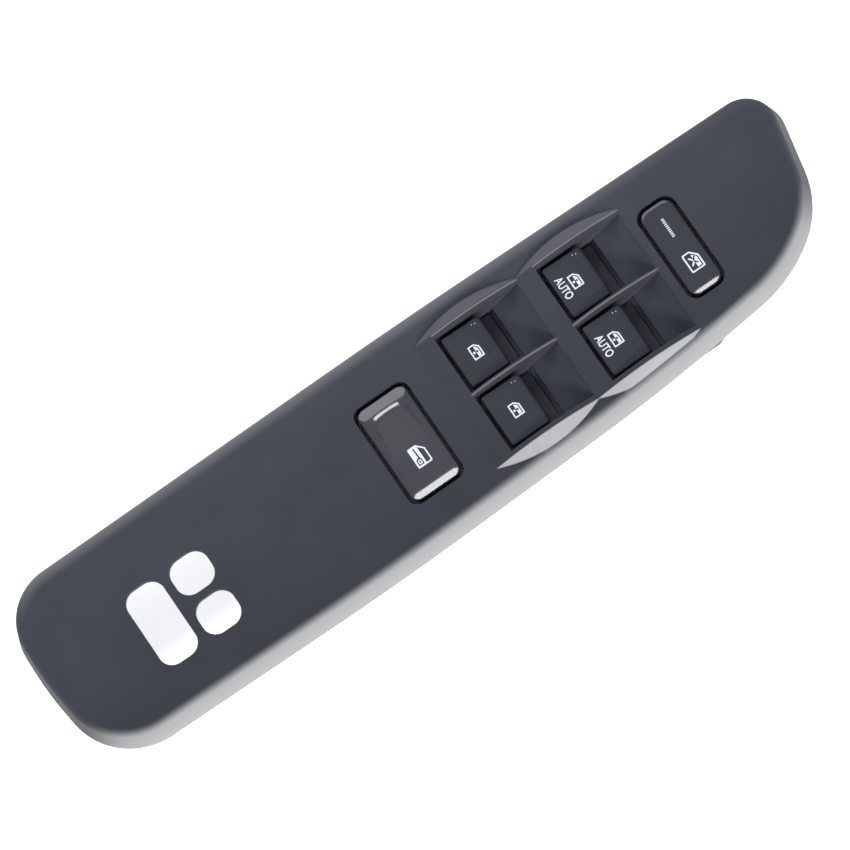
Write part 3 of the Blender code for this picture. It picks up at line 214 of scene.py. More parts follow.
def towards(tree, share, colour, plainColour):
    # from a linked colour to a plain one
    node = tree.nodes.new("ShaderNodeMix")
    node.data_type = "RGBA"
    node.inputs[7].default_value = (*plainColour, 1)
    tree.links.new(share, node.inputs[0])
    tree.links.new(colour, node.inputs[6])
    return node.outputs[2]


def bumpFrom(tree, height, strength, distance):
    node = tree.nodes.new("ShaderNodeBump")
    node.inputs["Strength"].default_value = strength
    node.inputs["Distance"].default_value = distance
    tree.links.new(height, node.inputs["Height"])
    return node.outputs["Normal"]


# materials

def mouldedPlastic(name, look):
    # cloudy tone, fine grain and a few pale specks of dust
    material, tree, shader = newMaterial(name)
    pale = tuple(min(1.0, v * look["cloudLift"]) for v in look["colour"])
    clouds = noise(tree, look["cloudScale"], 3.0, 0.55)
    base = ramp(tree, clouds, (0.3, look["colour"]), (0.7, pale))
    specks = tree.nodes.new("ShaderNodeTexVoronoi")
    specks.inputs["Scale"].default_value = look["speckScale"]
    tree.links.new(placeIn(tree), specks.inputs["Vector"])
    speckMask = remap(tree, specks.outputs["Distance"], look["speckAmount"], 0.0, 0.0, look["speckSize"])
    base = towards(tree, speckMask, base, look["speckColour"])
    tree.links.new(base, shader.inputs["Base Color"])
    grain = noise(tree, look["grainScale"], 2.0, 0.6)
    tree.links.new(remap(tree, grain, *look["rough"], 0.3, 0.7), shader.inputs["Roughness"])
    tree.links.new(bumpFrom(tree, grain, look["bump"], look["bumpHeight"]), shader.inputs["Normal"])
    shader.inputs["Specular IOR Level"].default_value = look.get("specular", 0.5)
    return material


def metal(name, look):
    # cloudy stain and fine grain
    material, tree, shader = newMaterial(name)
    stain = noise(tree, look["stainScale"], 4.0, 0.6)
    colour = ramp(tree, stain, (0.35, look["dark"]), (0.65, look["colour"]))
    tree.links.new(colour, shader.inputs["Base Color"])
    shader.inputs["Metallic"].default_value = 1.0
    fine = noise(tree, look["fineScale"], 2.0, 0.7)
    tree.links.new(remap(tree, fine, *look["rough"], 0.3, 0.7), shader.inputs["Roughness"])
    tree.links.new(bumpFrom(tree, fine, 0.15, 0.03 * mm), shader.inputs["Normal"])
    return material


def shadeByPlace(material, shade):
    # painted light and shade: the top is darker to the front and paler to the back, the wells and gaps are
    # paler, lifting their shade;
    # the flange, the humps' flanks and the crests between and behind the buttons turn to a pale grey as
    # painted reflections and highlights; places in mm, the flange from the mesh
    tree = material.node_tree
    shader = tree.nodes["Principled BSDF"]
    parts = tree.nodes.new("ShaderNodeSeparateXYZ")
    tree.links.new(placeIn(tree), parts.inputs[0])
    along, across, height = parts.outputs

    def rising(source, low, high):
        return remap(tree, source, 0, 1, low * mm, high * mm)

    def falling(source, low, high):
        return remap(tree, source, 1, 0, low * mm, high * mm)

    def product(first, *others):
        for other in others:
            first = calc(tree, "MULTIPLY", first, other)
        return first

    fromMiddle = calc(tree, "ABSOLUTE", calc(tree, "SUBTRACT", across, block["middle"] * mm))
    fromBackCrest = calc(tree, "ABSOLUTE", calc(tree, "SUBTRACT", across, 22.6 * mm))
    inBlock = product(rising(along, -20, -19), falling(along, 108, 109), falling(fromMiddle, 25, 26))
    # painted light in the shade: the colour lifted down in the wells and deeper in the gaps round the
    # buttons
    inWell = product(falling(height, 24.5, 26.9), inBlock)
    inGap = product(falling(height, 18, 24.5), inBlock)
    # painted shade and light: the top's colour scaled from darker at the front to paler at the back
    tone = remap(tree, across, shade["front"], shade["back"], -30 * mm, 30 * mm)
    for mask, lift in ((inWell, shade["well"]), (inGap, shade["gap"])):
        tone = product(tone, calc(tree, "ADD", 1.0, product(mask, lift)))
    base = scaled(tree, shader.inputs["Base Color"].links[0].from_socket, tone)

    # painted highlights on the humps' flanks, strong at the front and weak at the back
    onHump = rising(height, 27.04, 27.25)
    frontFlankHighlight = product(onHump, falling(across, -26.4, -26.1), shade["hump"])
    backFlankHighlight = product(onHump, rising(across, 22.9, 23.1), shade["backHump"])
    # painted highlight lines along the crests between and behind the buttons
    spans = [product(rising(along, x - 0.6, x), falling(along, x + 32, x + 33.5))
             for x in block["columns"].values()]
    finHighlight = product(rising(height, 26.6, 26.9),
                   falling(calc(tree, "MINIMUM", fromMiddle, fromBackCrest), 0.12, 0.35),
                   calc(tree, "ADD", *spans), shade["fin"])
    # painted reflection on the flange and shoulder, read from the mesh's pale attribute
    skirt = tree.nodes.new("ShaderNodeAttribute")
    skirt.attribute_name = "pale"
    pale = calc(tree, "MAXIMUM", skirt.outputs["Fac"], calc(tree, "ADD", frontFlankHighlight, backFlankHighlight))
    pale = calc(tree, "MAXIMUM", pale, finHighlight)
    tree.links.new(towards(tree, pale, base, shade["paintedHighlightColour"]), shader.inputs["Base Color"])
    return material


def paintedLightInside(material):
    # painted light in the shade: paler under the bezel, where it shows only through the gaps round the
    # buttons
    tree = material.node_tree
    shader = tree.nodes["Principled BSDF"]
    parts = tree.nodes.new("ShaderNodeSeparateXYZ")
    tree.links.new(placeIn(tree), parts.inputs[0])
    lift = remap(tree, parts.outputs["Z"], 1, 6, 14.2 * mm, 15 * mm)
    base = scaled(tree, shader.inputs["Base Color"].links[0].from_socket, lift)
    tree.links.new(base, shader.inputs["Base Color"])
    return material


looks = {
    "panel": {"colour": (0.0375, 0.0395, 0.0465), "cloudLift": 1.18, "cloudScale": 40, "grainScale": 3800,
              "speckScale": 260, "speckSize": 0.055, "speckAmount": 0.5, "speckColour": (0.15, 0.16, 0.18),
              "rough": (0.64, 0.74), "bump": 0.35, "bumpHeight": 0.05 * mm, "specular": 0.25},
    "button": {"colour": (0.0200, 0.0220, 0.0255), "cloudLift": 1.12, "cloudScale": 60, "grainScale": 5200,
               "speckScale": 300, "speckSize": 0.04, "speckAmount": 0.3, "speckColour": (0.12, 0.12, 0.14),
               "rough": (0.40, 0.48), "bump": 0.2, "bumpHeight": 0.03 * mm},
    "rocker": {"colour": (0.0390, 0.0395, 0.0410), "cloudLift": 1.1, "cloudScale": 60, "grainScale": 5200,
               "speckScale": 300, "speckSize": 0.04, "speckAmount": 0.3, "speckColour": (0.12, 0.12, 0.14),
               "rough": (0.24, 0.26), "bump": 0.01, "bumpHeight": 0.01 * mm, "specular": 0.75},
    "housing": {"colour": (0.050, 0.051, 0.054), "cloudLift": 1.2, "cloudScale": 50, "grainScale": 2600,
                "speckScale": 240, "speckSize": 0.05, "speckAmount": 0.3, "speckColour": (0.08, 0.08, 0.08),
                "rough": (0.42, 0.56), "bump": 0.3, "bumpHeight": 0.05 * mm},
    "print": {"colour": (0.80, 0.80, 0.80), "cloudLift": 1.05, "cloudScale": 300, "grainScale": 5200,
              "speckScale": 300, "speckSize": 0.04, "speckAmount": 0.3, "speckColour": (0.5, 0.5, 0.5),
              "rough": (0.45, 0.6), "bump": 0.1, "bumpHeight": 0.01 * mm},
}
# painted light and shade on the panel: front and back scale the top's colour, well and gap lift the shade,
# and hump, backHump and fin say how far the flanks and crests go to the painted highlight colour
panelShade = {
    "front": 0.82,
    "back": 1.22,
    "well": 0.05,
    "gap": 1.2,
    "paintedHighlightColour": (0.405, 0.395, 0.375),
    "hump": 0.85,
    "backHump": 0.2,
    "fin": 0.42,
}


def like(name, **changes):
    return {**looks[name], **changes}


materials = {
    "panel": shadeByPlace(mouldedPlastic("panelPlastic", looks["panel"]), panelShade),
    "button": mouldedPlastic("buttonPlastic", looks["button"]),
    "rocker": mouldedPlastic("rockerPlastic", looks["rocker"]),
    "lockout": mouldedPlastic("lockoutPlastic", like("rocker", colour=(0.0250, 0.0260, 0.0280))),
    "housing": paintedLightInside(mouldedPlastic("housingPlastic", looks["housing"])),
    "print": mouldedPlastic("whitePrint", looks["print"]),
    "board": mouldedPlastic("boardLaminate", like("button", colour=(0.012, 0.09, 0.035), rough=(0.3, 0.45))),
    "rubber": mouldedPlastic("domeRubber", like("panel", colour=(0.42, 0.42, 0.40),
                                                speckColour=(0.7, 0.7, 0.7))),
    "plunger": mouldedPlastic("plungerPlastic", like("button", colour=(0.58, 0.57, 0.52),
                                                     speckColour=(0.8, 0.8, 0.8))),
    "shroud": mouldedPlastic("shroudNylon", like("button", colour=(0.62, 0.60, 0.53),
                                                 speckColour=(0.8, 0.8, 0.8))),
    "lamp": mouldedPlastic("lampResin", like("rocker", colour=(0.80, 0.78, 0.60),
                                             speckColour=(0.9, 0.9, 0.9))),
    "chip": mouldedPlastic("chipEpoxy", like("housing", colour=(0.010, 0.010, 0.011))),
    "steel": metal("pinSteel", {"stainScale": 120, "dark": (0.45, 0.45, 0.46), "colour": (0.62, 0.62, 0.63),
                                "fineScale": 3000, "rough": (0.22, 0.36)}),
    "clip": metal("clipSteel", {"stainScale": 90, "dark": (0.24, 0.22, 0.20), "colour": (0.40, 0.38, 0.35),
                                "fineScale": 2500, "rough": (0.28, 0.45)}),
    "pin": metal("tinnedPin", {"stainScale": 160, "dark": (0.55, 0.52, 0.46), "colour": (0.74, 0.72, 0.68),
                               "fineScale": 3000, "rough": (0.2, 0.32)}),
}

for part in frame["record"]["subparts"]:
    node = nodes.get(part.get("node"))
    if node is None:
        continue
    for slot in node.material_slots:
        slotName = slot.material.name.split(".")[0] if slot.material else "panel"
        if slotName in materials:
            slot.material = materials[slotName]
print("materials set")


# shaping helpers; sizes are in mm unless they carry the mm factor

def skinOf(nodeName, pieceName):
    # own mesh with the node's shape, its loose triangles merged and flat areas made one face
    obj = linked(pieceName, nodes[nodeName].data.copy())
    pickOnly(obj)
    bpy.ops.mesh.customdata_custom_splitnormals_clear()
    editWhole(obj)
    bpy.ops.mesh.remove_doubles(threshold=0.002 * mm)
    bpy.ops.mesh.dissolve_limited(angle_limit=math.radians(0.4), use_dissolve_boundaries=False)
    bpy.ops.mesh.normals_make_consistent(inside=False)
    bpy.ops.object.mode_set(mode="OBJECT")
    return obj


def bevelWhere(obj, test, width, segments):
    # rounds the sharp edges that the test picks
    pickOnly(obj)
    bpy.ops.object.mode_set(mode="EDIT")
    bpy.ops.mesh.select_mode(type="EDGE")
    bpy.ops.mesh.select_all(action="DESELECT")
    mesh = bmesh.from_edit_mesh(obj.data)
    picked = 0
    for edge in mesh.edges:
        if edge.is_manifold and edge.calc_face_angle() > math.radians(28) and test(edge):
            edge.select = True
            picked += 1
    bmesh.update_edit_mesh(obj.data)
    if picked:
        bpy.ops.mesh.bevel(offset=width, segments=segments, profile=0.5, clamp_overlap=True)
    bpy.ops.object.mode_set(mode="OBJECT")
    print(obj.name, "rounded at", picked, "edges")


def heights(edge):
    return [v.co.z / mm for v in edge.verts]


def smoothSkin(obj, angle):
    pickOnly(obj)
    bpy.ops.object.shade_smooth_by_angle(angle=math.radians(angle))
    weights = obj.modifiers.new("weights", "WEIGHTED_NORMAL")
    weights.mode = "FACE_AREA"
    weights.weight = 90
    weights.keep_sharp = True
    applyAll(obj)


def addMesh(name, points, faces, merge=0):
    # merge is the distance under which two points become one
    mesh = bpy.data.meshes.new(name)
    mesh.from_pydata([(x * mm, y * mm, z * mm) for x, y, z in points], [], faces)
    obj = linked(name, mesh)
    editWhole(obj)
    if merge:
        bpy.ops.mesh.remove_doubles(threshold=merge * mm)
    bpy.ops.mesh.normals_make_consistent(inside=False)
    bpy.ops.object.mode_set(mode="OBJECT")
    return obj


def ringSolid(name, rings):
    # closed body through outlines of equal length
    count = len(rings[0])
    points = [point for ring in rings for point in ring]
    faces = [tuple(reversed(range(count))), tuple(range(len(points) - count, len(points)))]
    for low in range(0, len(points) - count, count):
        high = low + count
        for k in range(count):
            nextK = (k + 1) % count
            faces.append((low + k, low + nextK, high + nextK, high + k))
    return addMesh(name, points, faces)


def upright(name, outline, low, high):
    return ringSolid(name, [[(x, y, z) for x, y in outline] for z in (low, high)])


def boxAt(low, high):
    deselectAll()
    centre = [(a + b) / 2 * mm for a, b in zip(low, high)]
    sides = [(b - a) * mm for a, b in zip(low, high)]
    bpy.ops.mesh.primitive_cube_add(size=1, location=centre, scale=sides)
    bpy.ops.object.transform_apply(location=True, rotation=True, scale=True)
    return bpy.context.object


def rodAt(x, y, radius, low, high, sides):
    deselectAll()
    bpy.ops.mesh.primitive_cylinder_add(vertices=sides, radius=radius * mm, depth=(high - low) * mm,
                                        location=(x * mm, y * mm, (low + high) / 2 * mm))
    bpy.ops.object.transform_apply(location=True, rotation=True, scale=True)
    return bpy.context.object


def joined(objs):
    deselectAll()
    for obj in objs:
        obj.select_set(True)
    bpy.context.view_layer.objects.active = objs[0]
    bpy.ops.object.join()
    return bpy.context.object


def combine(target, tool, how):
    modifier = target.modifiers.new("shape", "BOOLEAN")
    modifier.operation = how
    modifier.solver = "EXACT"
    modifier.object = tool
    applyAll(target)
    bpy.data.objects.remove(tool, do_unlink=True)


def roundCorners(corners, steps):
    # corners as x, y, radius, going anticlockwise
    points = []
    for index, (x, y, radius) in enumerate(corners):
        here = Vector((x, y))
        before = (Vector(corners[index - 1][:2]) - here).normalized()
        after = (Vector(corners[(index + 1) % len(corners)][:2]) - here).normalized()
        half = before.angle(after) / 2
        centre = here + (before + after).normalized() * radius / math.sin(half)
        first = here + before * radius / math.tan(half) - centre
        last = here + after * radius / math.tan(half) - centre
        start = math.atan2(first.y, first.x)
        sweep = (math.atan2(last.y, last.x) - start) % math.tau
        for step in range(steps + 1):
            angle = start + sweep * step / steps
            points.append((centre.x + radius * math.cos(angle), centre.y + radius * math.sin(angle)))
    return points


def roundedBox(centreX, centreY, lengthX, lengthY, radius):
    left, right = centreX - lengthX / 2, centreX + lengthX / 2
    low, high = centreY - lengthY / 2, centreY + lengthY / 2
    corners = ((left, low), (right, low), (right, high), (left, high))
    return roundCorners([(x, y, radius) for x, y in corners], 8)


def movedIn(corners, inset):
    moved = []
    for index, (x, y, radius) in enumerate(corners):
        here = Vector((x, y))
        before = (here - Vector(corners[index - 1][:2])).normalized()
        after = (Vector(corners[(index + 1) % len(corners)][:2]) - here).normalized()
        sideBefore = Vector((-before.y, before.x))
        sideAfter = Vector((-after.y, after.x))
        shift = (sideBefore + sideAfter) * inset / (1 + sideBefore.dot(sideAfter))
        moved.append((here.x + shift.x, here.y + shift.y, max(radius - inset, 0.4)))
    return moved


# bezel: outline corners as x, y and either a radius or how far the bend reaches along its sides

bezel = {
    "corners": [(-147.0, -34.1, 24.9, 0), (-37.0, -35.5, 0, 27.0), (68.8, -32.6, 0, 28.9),
                (121.6, -26.7, 0, 11.3), (144.5, -12.6, 32.4, 0), (153.8, 33.0, 12.5, 0),
                (12.5, 35.5, 0, 29.2), (-150.1, 34.7, 20.5, 0), (-150.9, 0.8, 0, 8.0)],
    "cornerSteps": 16,
    "bottom": 14.0,
    "top": 27.0,
    "fillet": 2.5,
    "softBack": 2.6,               # the back shoulder is that much longer
    "filletSteps": 9,
    "draft": math.radians(8),
    "wall": 2.2,
    "aperture": (21.0, 22.2),
    "fin": 1.6,
    "wellLength": 11.3,
    "wellDepth": 5.4,
    "wellSteps": 20,
    "humpHeight": 3.1,
    "humpRun": 4.5,
    "humpLength": 41.4,
    "humpOverhang": 7.7,
    "humpRoot": 0.5,               # the hump starts that far under the top
    "humpLean": math.radians(35),
    "humpSteps": 44,
    "cuts": [(-8.6, -2.05, 21.0, 38.9, 3.6), (99.8, 0.2, 14.4, 36.0, 4.2), (-107.3, -4.7, 14.0, 29.4, 5.0),
             (-90.1, 3.45, 14.0, 13.4, 5.0), (-90.1, -12.5, 14.0, 13.4, 5.0)],
    "cutFoot": 17.3,
    "cutHead": 36.0,
    "innerFoot": 18.3,             # foot of the inner walls round the buttons
    "innerTop": 25.9,              # everything inside ends within the roof
    "collarWall": 1.6,
    "screws": [(-30.0, 17.0), (-30.0, -17.0), (116.0, 17.0), (116.0, -11.0)],
    "clips": [(-132.0, 15.0), (-132.0, -15.0), (132.0, 20.0), (132.0, -4.0)],
    "ribs": (-121.9, -71.9, -47.9),
    "rimRound": 0.22 * mm,
    "lipRound": 0.7 * mm,
    "apertureRound": 0.4 * mm,
}


def bezelCorners():
    plain = [Vector(corner[:2]) for corner in bezel["corners"]]
    corners = []
    for index, (x, y, radius, reach) in enumerate(bezel["corners"]):
        if reach:
            first = plain[index - 1] - plain[index]
            second = plain[(index + 1) % len(plain)] - plain[index]
            radius = reach * math.tan(first.angle(second) / 2)
        corners.append((x, y, radius))
    return corners


def bezelRing(inset, z, turned=0.0):
    # turned is how far round the shoulder a ring lies; the back shoulder reaches further in
    outline = roundCorners(movedIn(bezelCorners(), inset), bezel["cornerSteps"])
    soft = bezel["softBack"] * (1 - math.cos(turned))
    return [(x, y - soft * min(1, max(0, (y - 6) / 20)), z) for x, y in outline]


def draftAt(z):
    return (z - bezel["bottom"]) * math.tan(bezel["draft"])


def shoulderInset(angle):
    # how far in the outer side is at an angle round the shoulder
    return draftAt(bezel["top"] - bezel["fillet"]) + bezel["fillet"] * (1 - math.cos(angle))


def bezelOutside():
    rings = [bezelRing(0, bezel["bottom"])]
    shoulder = bezel["top"] - bezel["fillet"]
    for step in range(bezel["filletSteps"] + 1):
        angle = math.pi / 2 * step / bezel["filletSteps"]
        rings.append(bezelRing(shoulderInset(angle), shoulder + bezel["fillet"] * math.sin(angle), angle))
    return ringSolid("bezelShell", rings)


def bezelHollow():
    roof = bezel["top"] - bezel["wall"]
    bend = roof - 1.5
    return ringSolid("hollow", [bezelRing(bezel["wall"] - 0.1, bezel["bottom"] - 1),
                                bezelRing(bezel["wall"] + draftAt(bend), bend),
                                bezelRing(bezel["wall"] + draftAt(roof) + 1.4, roof)])


def humpEnvelope():
    # carries the round shoulder on upwards, leaning in
    angle = math.asin(1 - bezel["humpRoot"] / bezel["fillet"])
    rings = []
    for rise in (-2.0, 6.0):
        lean = (rise + bezel["humpRoot"]) * math.tan(bezel["humpLean"])
        rings.append(bezelRing(shoulderInset(angle) + lean, bezel["top"] + rise, angle))
    return ringSolid("envelope", rings)


def hump(column):
    # an arch with a flank at either side of its two crests
    overHalf = bezel["aperture"][1] / 2 + bezel["fin"]
    crestLow = block["rows"]["right"] - overHalf
    crestHigh = block["rows"]["left"] + overHalf
    root = bezel["top"] - bezel["humpRoot"]
    rings = []
    for step in range(bezel["humpSteps"] + 1):
        along = 2 * step / bezel["humpSteps"] - 1
        x = column - bezel["humpOverhang"] + bezel["humpLength"] * (along + 1) / 2
        height = bezel["humpHeight"] * (1 - along * along)
        run = (height + bezel["humpRoot"]) * bezel["humpRun"] / bezel["humpHeight"]
        rings.append([(x, crestLow - run, root), (x, crestLow, bezel["top"] + height),
                      (x, crestHigh, bezel["top"] + height), (x, crestHigh + run, root)])
    return ringSolid("hump", rings)


def acrossRow(name, side, row):
    # a side view, as x and z, drawn out over the width of a row
    half = bezel["aperture"][1] / 2
    return ringSolid(name, [[(x, row + y, z) for x, z in side] for y in (-half, half)])


def pocket(column, row):
    # aperture and the ramp that a finger slides down
    edge = column + bezel["aperture"][0]
    lip = bezel["top"] - bezel["wellDepth"]
    side = [(column, 17.0), (edge, 17.0)]
    for step in range(bezel["wellSteps"] + 1):
        share = step / bezel["wellSteps"]
        side.append((edge + bezel["wellLength"] * share, lip + bezel["wellDepth"] * share ** 1.35))
    side += [(edge + bezel["wellLength"], bezel["cutHead"]), (column, bezel["cutHead"])]
    return acrossRow("pocket", side, row)


def relief(column, row):
    # hollow under the ramp
    start = column + bezel["aperture"][0] + bezel["fin"]
    end = start + bezel["wellLength"] - bezel["fin"]
    side = [(start, bezel["cutFoot"]), (end + 3, bezel["cutFoot"]), (end + 3, 24.8), (end - 1.5, 24.8),
            (start + 4.5, 21.7), (start, 20.4)]
    return acrossRow("relief", side, row)


def innerStock():
    # what stands under the roof: frames, collars, screw bosses, clip webs and ribs
    foot, top, wall = bezel["innerFoot"], bezel["innerTop"], bezel["collarWall"]
    stock = [boxAt((column - 1.6, -26.2, foot), (column + 33.9, 23.0, top))
             for column in block["columns"].values()]
    for x, y, lengthX, lengthY, radius in bezel["cuts"][:2]:
        collar = roundedBox(x, y, lengthX + 2 * wall, lengthY + 2 * wall, radius + wall)
        stock.append(upright("collar", collar, foot, top))
    stock += [rodAt(x, y, 3.2, 16.3, top, 32) for x, y in bezel["screws"]]
    stock += [boxAt((x - 4, y - 0.9, 7.0), (x + 4, y + 0.9, top)) for x, y in bezel["clips"]]
    stock += [boxAt((x - 0.8, -29.5, 21.8), (x + 0.8, 29.5, top)) for x in bezel["ribs"]]
    return joined(stock)


def openings():
    tools = []
    for column in block["columns"].values():
        for row in block["rows"].values():
            tools += [pocket(column, row), relief(column, row)]
    for cut in bezel["cuts"]:
        tools.append(upright("cutOut", roundedBox(*cut), bezel["cutFoot"], bezel["cutHead"]))
    tools += [rodAt(x, y, 1.55, 15.7, 22.1, 20) for x, y in bezel["screws"]]
    return joined(tools)


def makeBezel():
    body = bezelOutside()
    combine(body, bezelHollow(), "DIFFERENCE")
    for column in block["columns"].values():
        arch = hump(column)
        combine(arch, humpEnvelope(), "INTERSECT")
        combine(body, arch, "UNION")
    print("bezel shell and humps made")
    combine(body, innerStock(), "UNION")
    combine(body, openings(), "DIFFERENCE")
    print("bezel pockets and holes cut,", len(body.data.polygons), "faces")
    return body


def atHumpRim(edge):
    inBlock = all(8.0 < v.co.x / mm < 99.0 and abs(v.co.y / mm - block["middle"]) < 31 for v in edge.verts)
    return inBlock and min(heights(edge)) > 26.9


def atCutOutLip(edge):
    flat = all(abs(z - bezel["top"]) < 0.01 for z in heights(edge))
    outsideBlock = all(v.co.x / mm < 8.0 or v.co.x / mm > 91.0 for v in edge.verts)
    return flat and outsideBlock and edge.calc_face_angle() > math.radians(80)


def atAperture(edge):
    low = all(abs(z - bezel["top"] + bezel["wellDepth"]) < 0.05 for z in heights(edge))
    return low and edge.calc_face_angle() > math.radians(60)


bezelSkin = makeBezel()
bevelWhere(bezelSkin, atHumpRim, bezel["rimRound"], 4)
bevelWhere(bezelSkin, atCutOutLip, bezel["lipRound"], 5)
bevelWhere(bezelSkin, atAperture, bezel["apertureRound"], 2)
finishPiece(bezelSkin, "bezelSkin", "panel", materials["panel"])
smoothSkin(bezelSkin, 24)

# painted reflection of the bright light on the flange and the shoulder: how pale they go, as height and
# share
skirtPaintedLight = {
    "reach": 7.5,
    "endFade": 0.8,
    "front": [(14.0, 0.85), (22.0, 0.74), (24.6, 0.68), (26.1, 0.42), (26.8, 0.12), (27.0, 0.0)],
    "back": [(14.0, 0.85), (22.0, 0.80), (24.6, 0.78), (25.2, 0.50), (26.0, 0.38), (26.7, 0.22),
             (26.97, 0.05), (27.0, 0.0)],
}


def between(stops, value):
    # straight lines between value pairs
    for (a, first), (b, second) in zip(stops, stops[1:]):
        if value <= b:
            return first + (second - first) * max(0, value - a) / (b - a)
    return stops[-1][1]


def fade(value, start, length):
    return min(1, max(0, (value - start) / length))


def distanceTo(outline, point):
    # to the nearest side of a closed outline
    nearest = math.inf
    for a, b in zip(outline, outline[1:] + outline[:1]):
        foot, share = intersect_point_line(point, a, b)
        if -0.5 < share < 1.5:
            nearest = min(nearest, (point - foot).length)
    return nearest


def paintSkirt(obj, skirt):
    # painted reflection: how pale each point of the outer side is, by height, front and back apart
    outline = [Vector(point[:2]) for point in bezelRing(0, 0)]
    pale = obj.data.attributes.new("pale", "FLOAT", "POINT")
    for index, vertex in enumerate(obj.data.vertices):
        x, y, z = (value / mm for value in vertex.co)
        inBlock = 8 < x < 99 and abs(y - block["middle"]) < 24.9
        if z > 27.05 or z < 14 or inBlock or distanceTo(outline, Vector((x, y))) >= skirt["reach"]:
            continue
        # round the nose and the tail the painted reflection fades, so the skirt darkens
        nose = fade(x, 128, 8) * fade(y, -16, 12)
        tail = fade(-x, 136, 8) * fade(y, -30, 12)
        turn = fade(y, -5, 20)
        tone = between(skirt["front"], z) * (1 - turn) + between(skirt["back"], z) * turn
        pale.data[index].value = tone * (1 - skirt["endFade"] * max(nose, tail))


paintSkirt(bezelSkin, skirtPaintedLight)
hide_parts("bezel")
print("bezel dressed,", len(bezelSkin.data.polygons), "faces")


# window buttons: the node's shape with its upper edges rounded

windowButton = {"round": 0.22 * mm, "roundAbove": 19.5}


def atButtonTop(edge):
    return min(heights(edge)) > windowButton["roundAbove"]


for side in block["sides"]:
    skin = skinOf("window_button_" + side, "windowButton_" + side)
    bevelWhere(skin, atButtonTop, windowButton["round"], 2)
    finishPiece(skin, "windowButton_" + side, "button_" + side, materials["button"])
    smoothSkin(skin, 40)
    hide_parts("window_button_" + side)


# rocker and lock-out button: the node's lower part under a new top

def softMax(a, b, width):
    # larger of the two, the corner between them rounded
    if abs(a - b) >= width:
        return max(a, b)
    return max(a, b) + (width - abs(a - b)) ** 2 / (4 * width)


def insideCorner(pastX, pastY, radius):
    # how far a point is inside a rounded corner, from how far it is past the arc's centre
    return radius - math.hypot(max(pastX, 0), max(pastY, 0)) - min(max(pastX, pastY), 0)


def capTop(name, cap, drop):
    # the pressed top of a button as a fine net, closed by its sides and a flat bottom
    halfX, halfY = cap["half"]
    corner, edge = cap["corner"], cap["edge"]
    across, along = cap["net"]
    points = []
    for i in range(across + 1):
        x = -halfX * math.cos(math.pi * i / across)
        reach = halfY - corner + math.sqrt(max(0, corner ** 2 - max(0, abs(x) - halfX + corner) ** 2))
        for j in range(along + 1):
            y = -reach * math.cos(math.pi * j / along)
            inset = insideCorner(abs(x) - halfX + corner, abs(y) - halfY + corner, corner)
            roundDrop = edge - math.sqrt(max(0, edge ** 2 - max(0, edge - inset) ** 2))
            z = cap["top"] - roundDrop - drop(x, y, inset)
            points.append((cap["centre"][0] + x, cap["centre"][1] + y, z))
    wide = along + 1
    faces = [(i * wide + j, (i + 1) * wide + j, (i + 1) * wide + j + 1, i * wide + j + 1)
             for i in range(across) for j in range(along)]
    rim = list(range(wide)) + [i * wide + along for i in range(1, across + 1)]
    rim += [across * wide + j for j in range(along - 1, -1, -1)]
    rim += [i * wide for i in range(across - 1, 0, -1)]
    first = len(points)
    points += [(*points[index][:2], cap["split"]) for index in rim]
    for k in range(len(rim)):
        nextK = (k + 1) % len(rim)
        faces.append((rim[k], rim[nextK], first + nextK, first + k))
    faces.append(tuple(first + k for k in range(len(rim))))
    return addMesh(name, points, faces, 0.0005)


def keepBelow(obj, height):
    editWhole(obj)
    bpy.ops.mesh.bisect(plane_co=(0, 0, height * mm), plane_no=(0, 0, 1), clear_outer=True, use_fill=True)
    bpy.ops.object.mode_set(mode="OBJECT")


def makeCap(nodeName, pieceName, body, cap, drop):
    top = capTop(pieceName + "Top", cap, drop)
    lower = skinOf(nodeName, pieceName + "Lower")
    keepBelow(lower, cap["split"])
    piece = joined([top, lower])
    finishPiece(piece, pieceName, body, materials[body])   # its finish has the body's name
    smoothSkin(piece, 40)
    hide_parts(nodeName)
    print(pieceName, "made,", len(piece.data.polygons), "faces")
    return piece


rocker = {
    "centre": (-8.6, -2.05),
    "half": (9.25, 18.2),
    "corner": 3.0,
    "edge": 0.45,
    "top": 28.0,
    "split": 24.2,
    "net": (84, 190),
    "bevel": (1.6, 0.46),          # width and slope of the band round the top
    "frontFacet": (2.7, 0.84),     # length and slope of the end that shines white
    "backSlope": (4.2, 0.36),
    "scoop": {"half": 7.0, "corner": 3.2, "end": 11.9, "sag": 0.9, "wall": 0.84, "depth": 1.35,
              "length": 17.0},
}


def rockerDrop(x, y, inset):
    width, slope = rocker["bevel"]
    run, facetSlope = rocker["frontFacet"]
    backRun, backSlope = rocker["backSlope"]
    drop = softMax(0, slope * (width - inset), 0.2)
    drop = softMax(drop, facetSlope * (run - y - rocker["half"][1]), 0.45)
    drop = softMax(drop, backSlope * (backRun + y - rocker["half"][1]), 0.25)
    scoop = rocker["scoop"]
    corner = scoop["corner"]
    end = scoop["end"] - rocker["centre"][1] - scoop["sag"] * (x / scoop["half"]) ** 2
    inScoop = insideCorner(abs(x) - scoop["half"] + corner, y - end + corner, corner)
    floor = softMax(0, scoop["depth"] * (1 - (end - y) / scoop["length"]), 0.25)
    depth = -softMax(-scoop["wall"] * inScoop, -floor, 0.35)
    return drop + max(0, depth)


rockerSkin = makeCap("lock_rocker", "lockRockerCap", "rocker", rocker, rockerDrop)

lockout = {
    "centre": (99.8, 0.2),
    "half": (6.0, 16.8),
    "corner": 3.4,
    "edge": 0.45,
    "top": 28.0,
    "split": 24.5,
    "net": (60, 130),
    "bevel": (1.1, 0.5),
    "frontFacet": (1.8, 0.84),
}


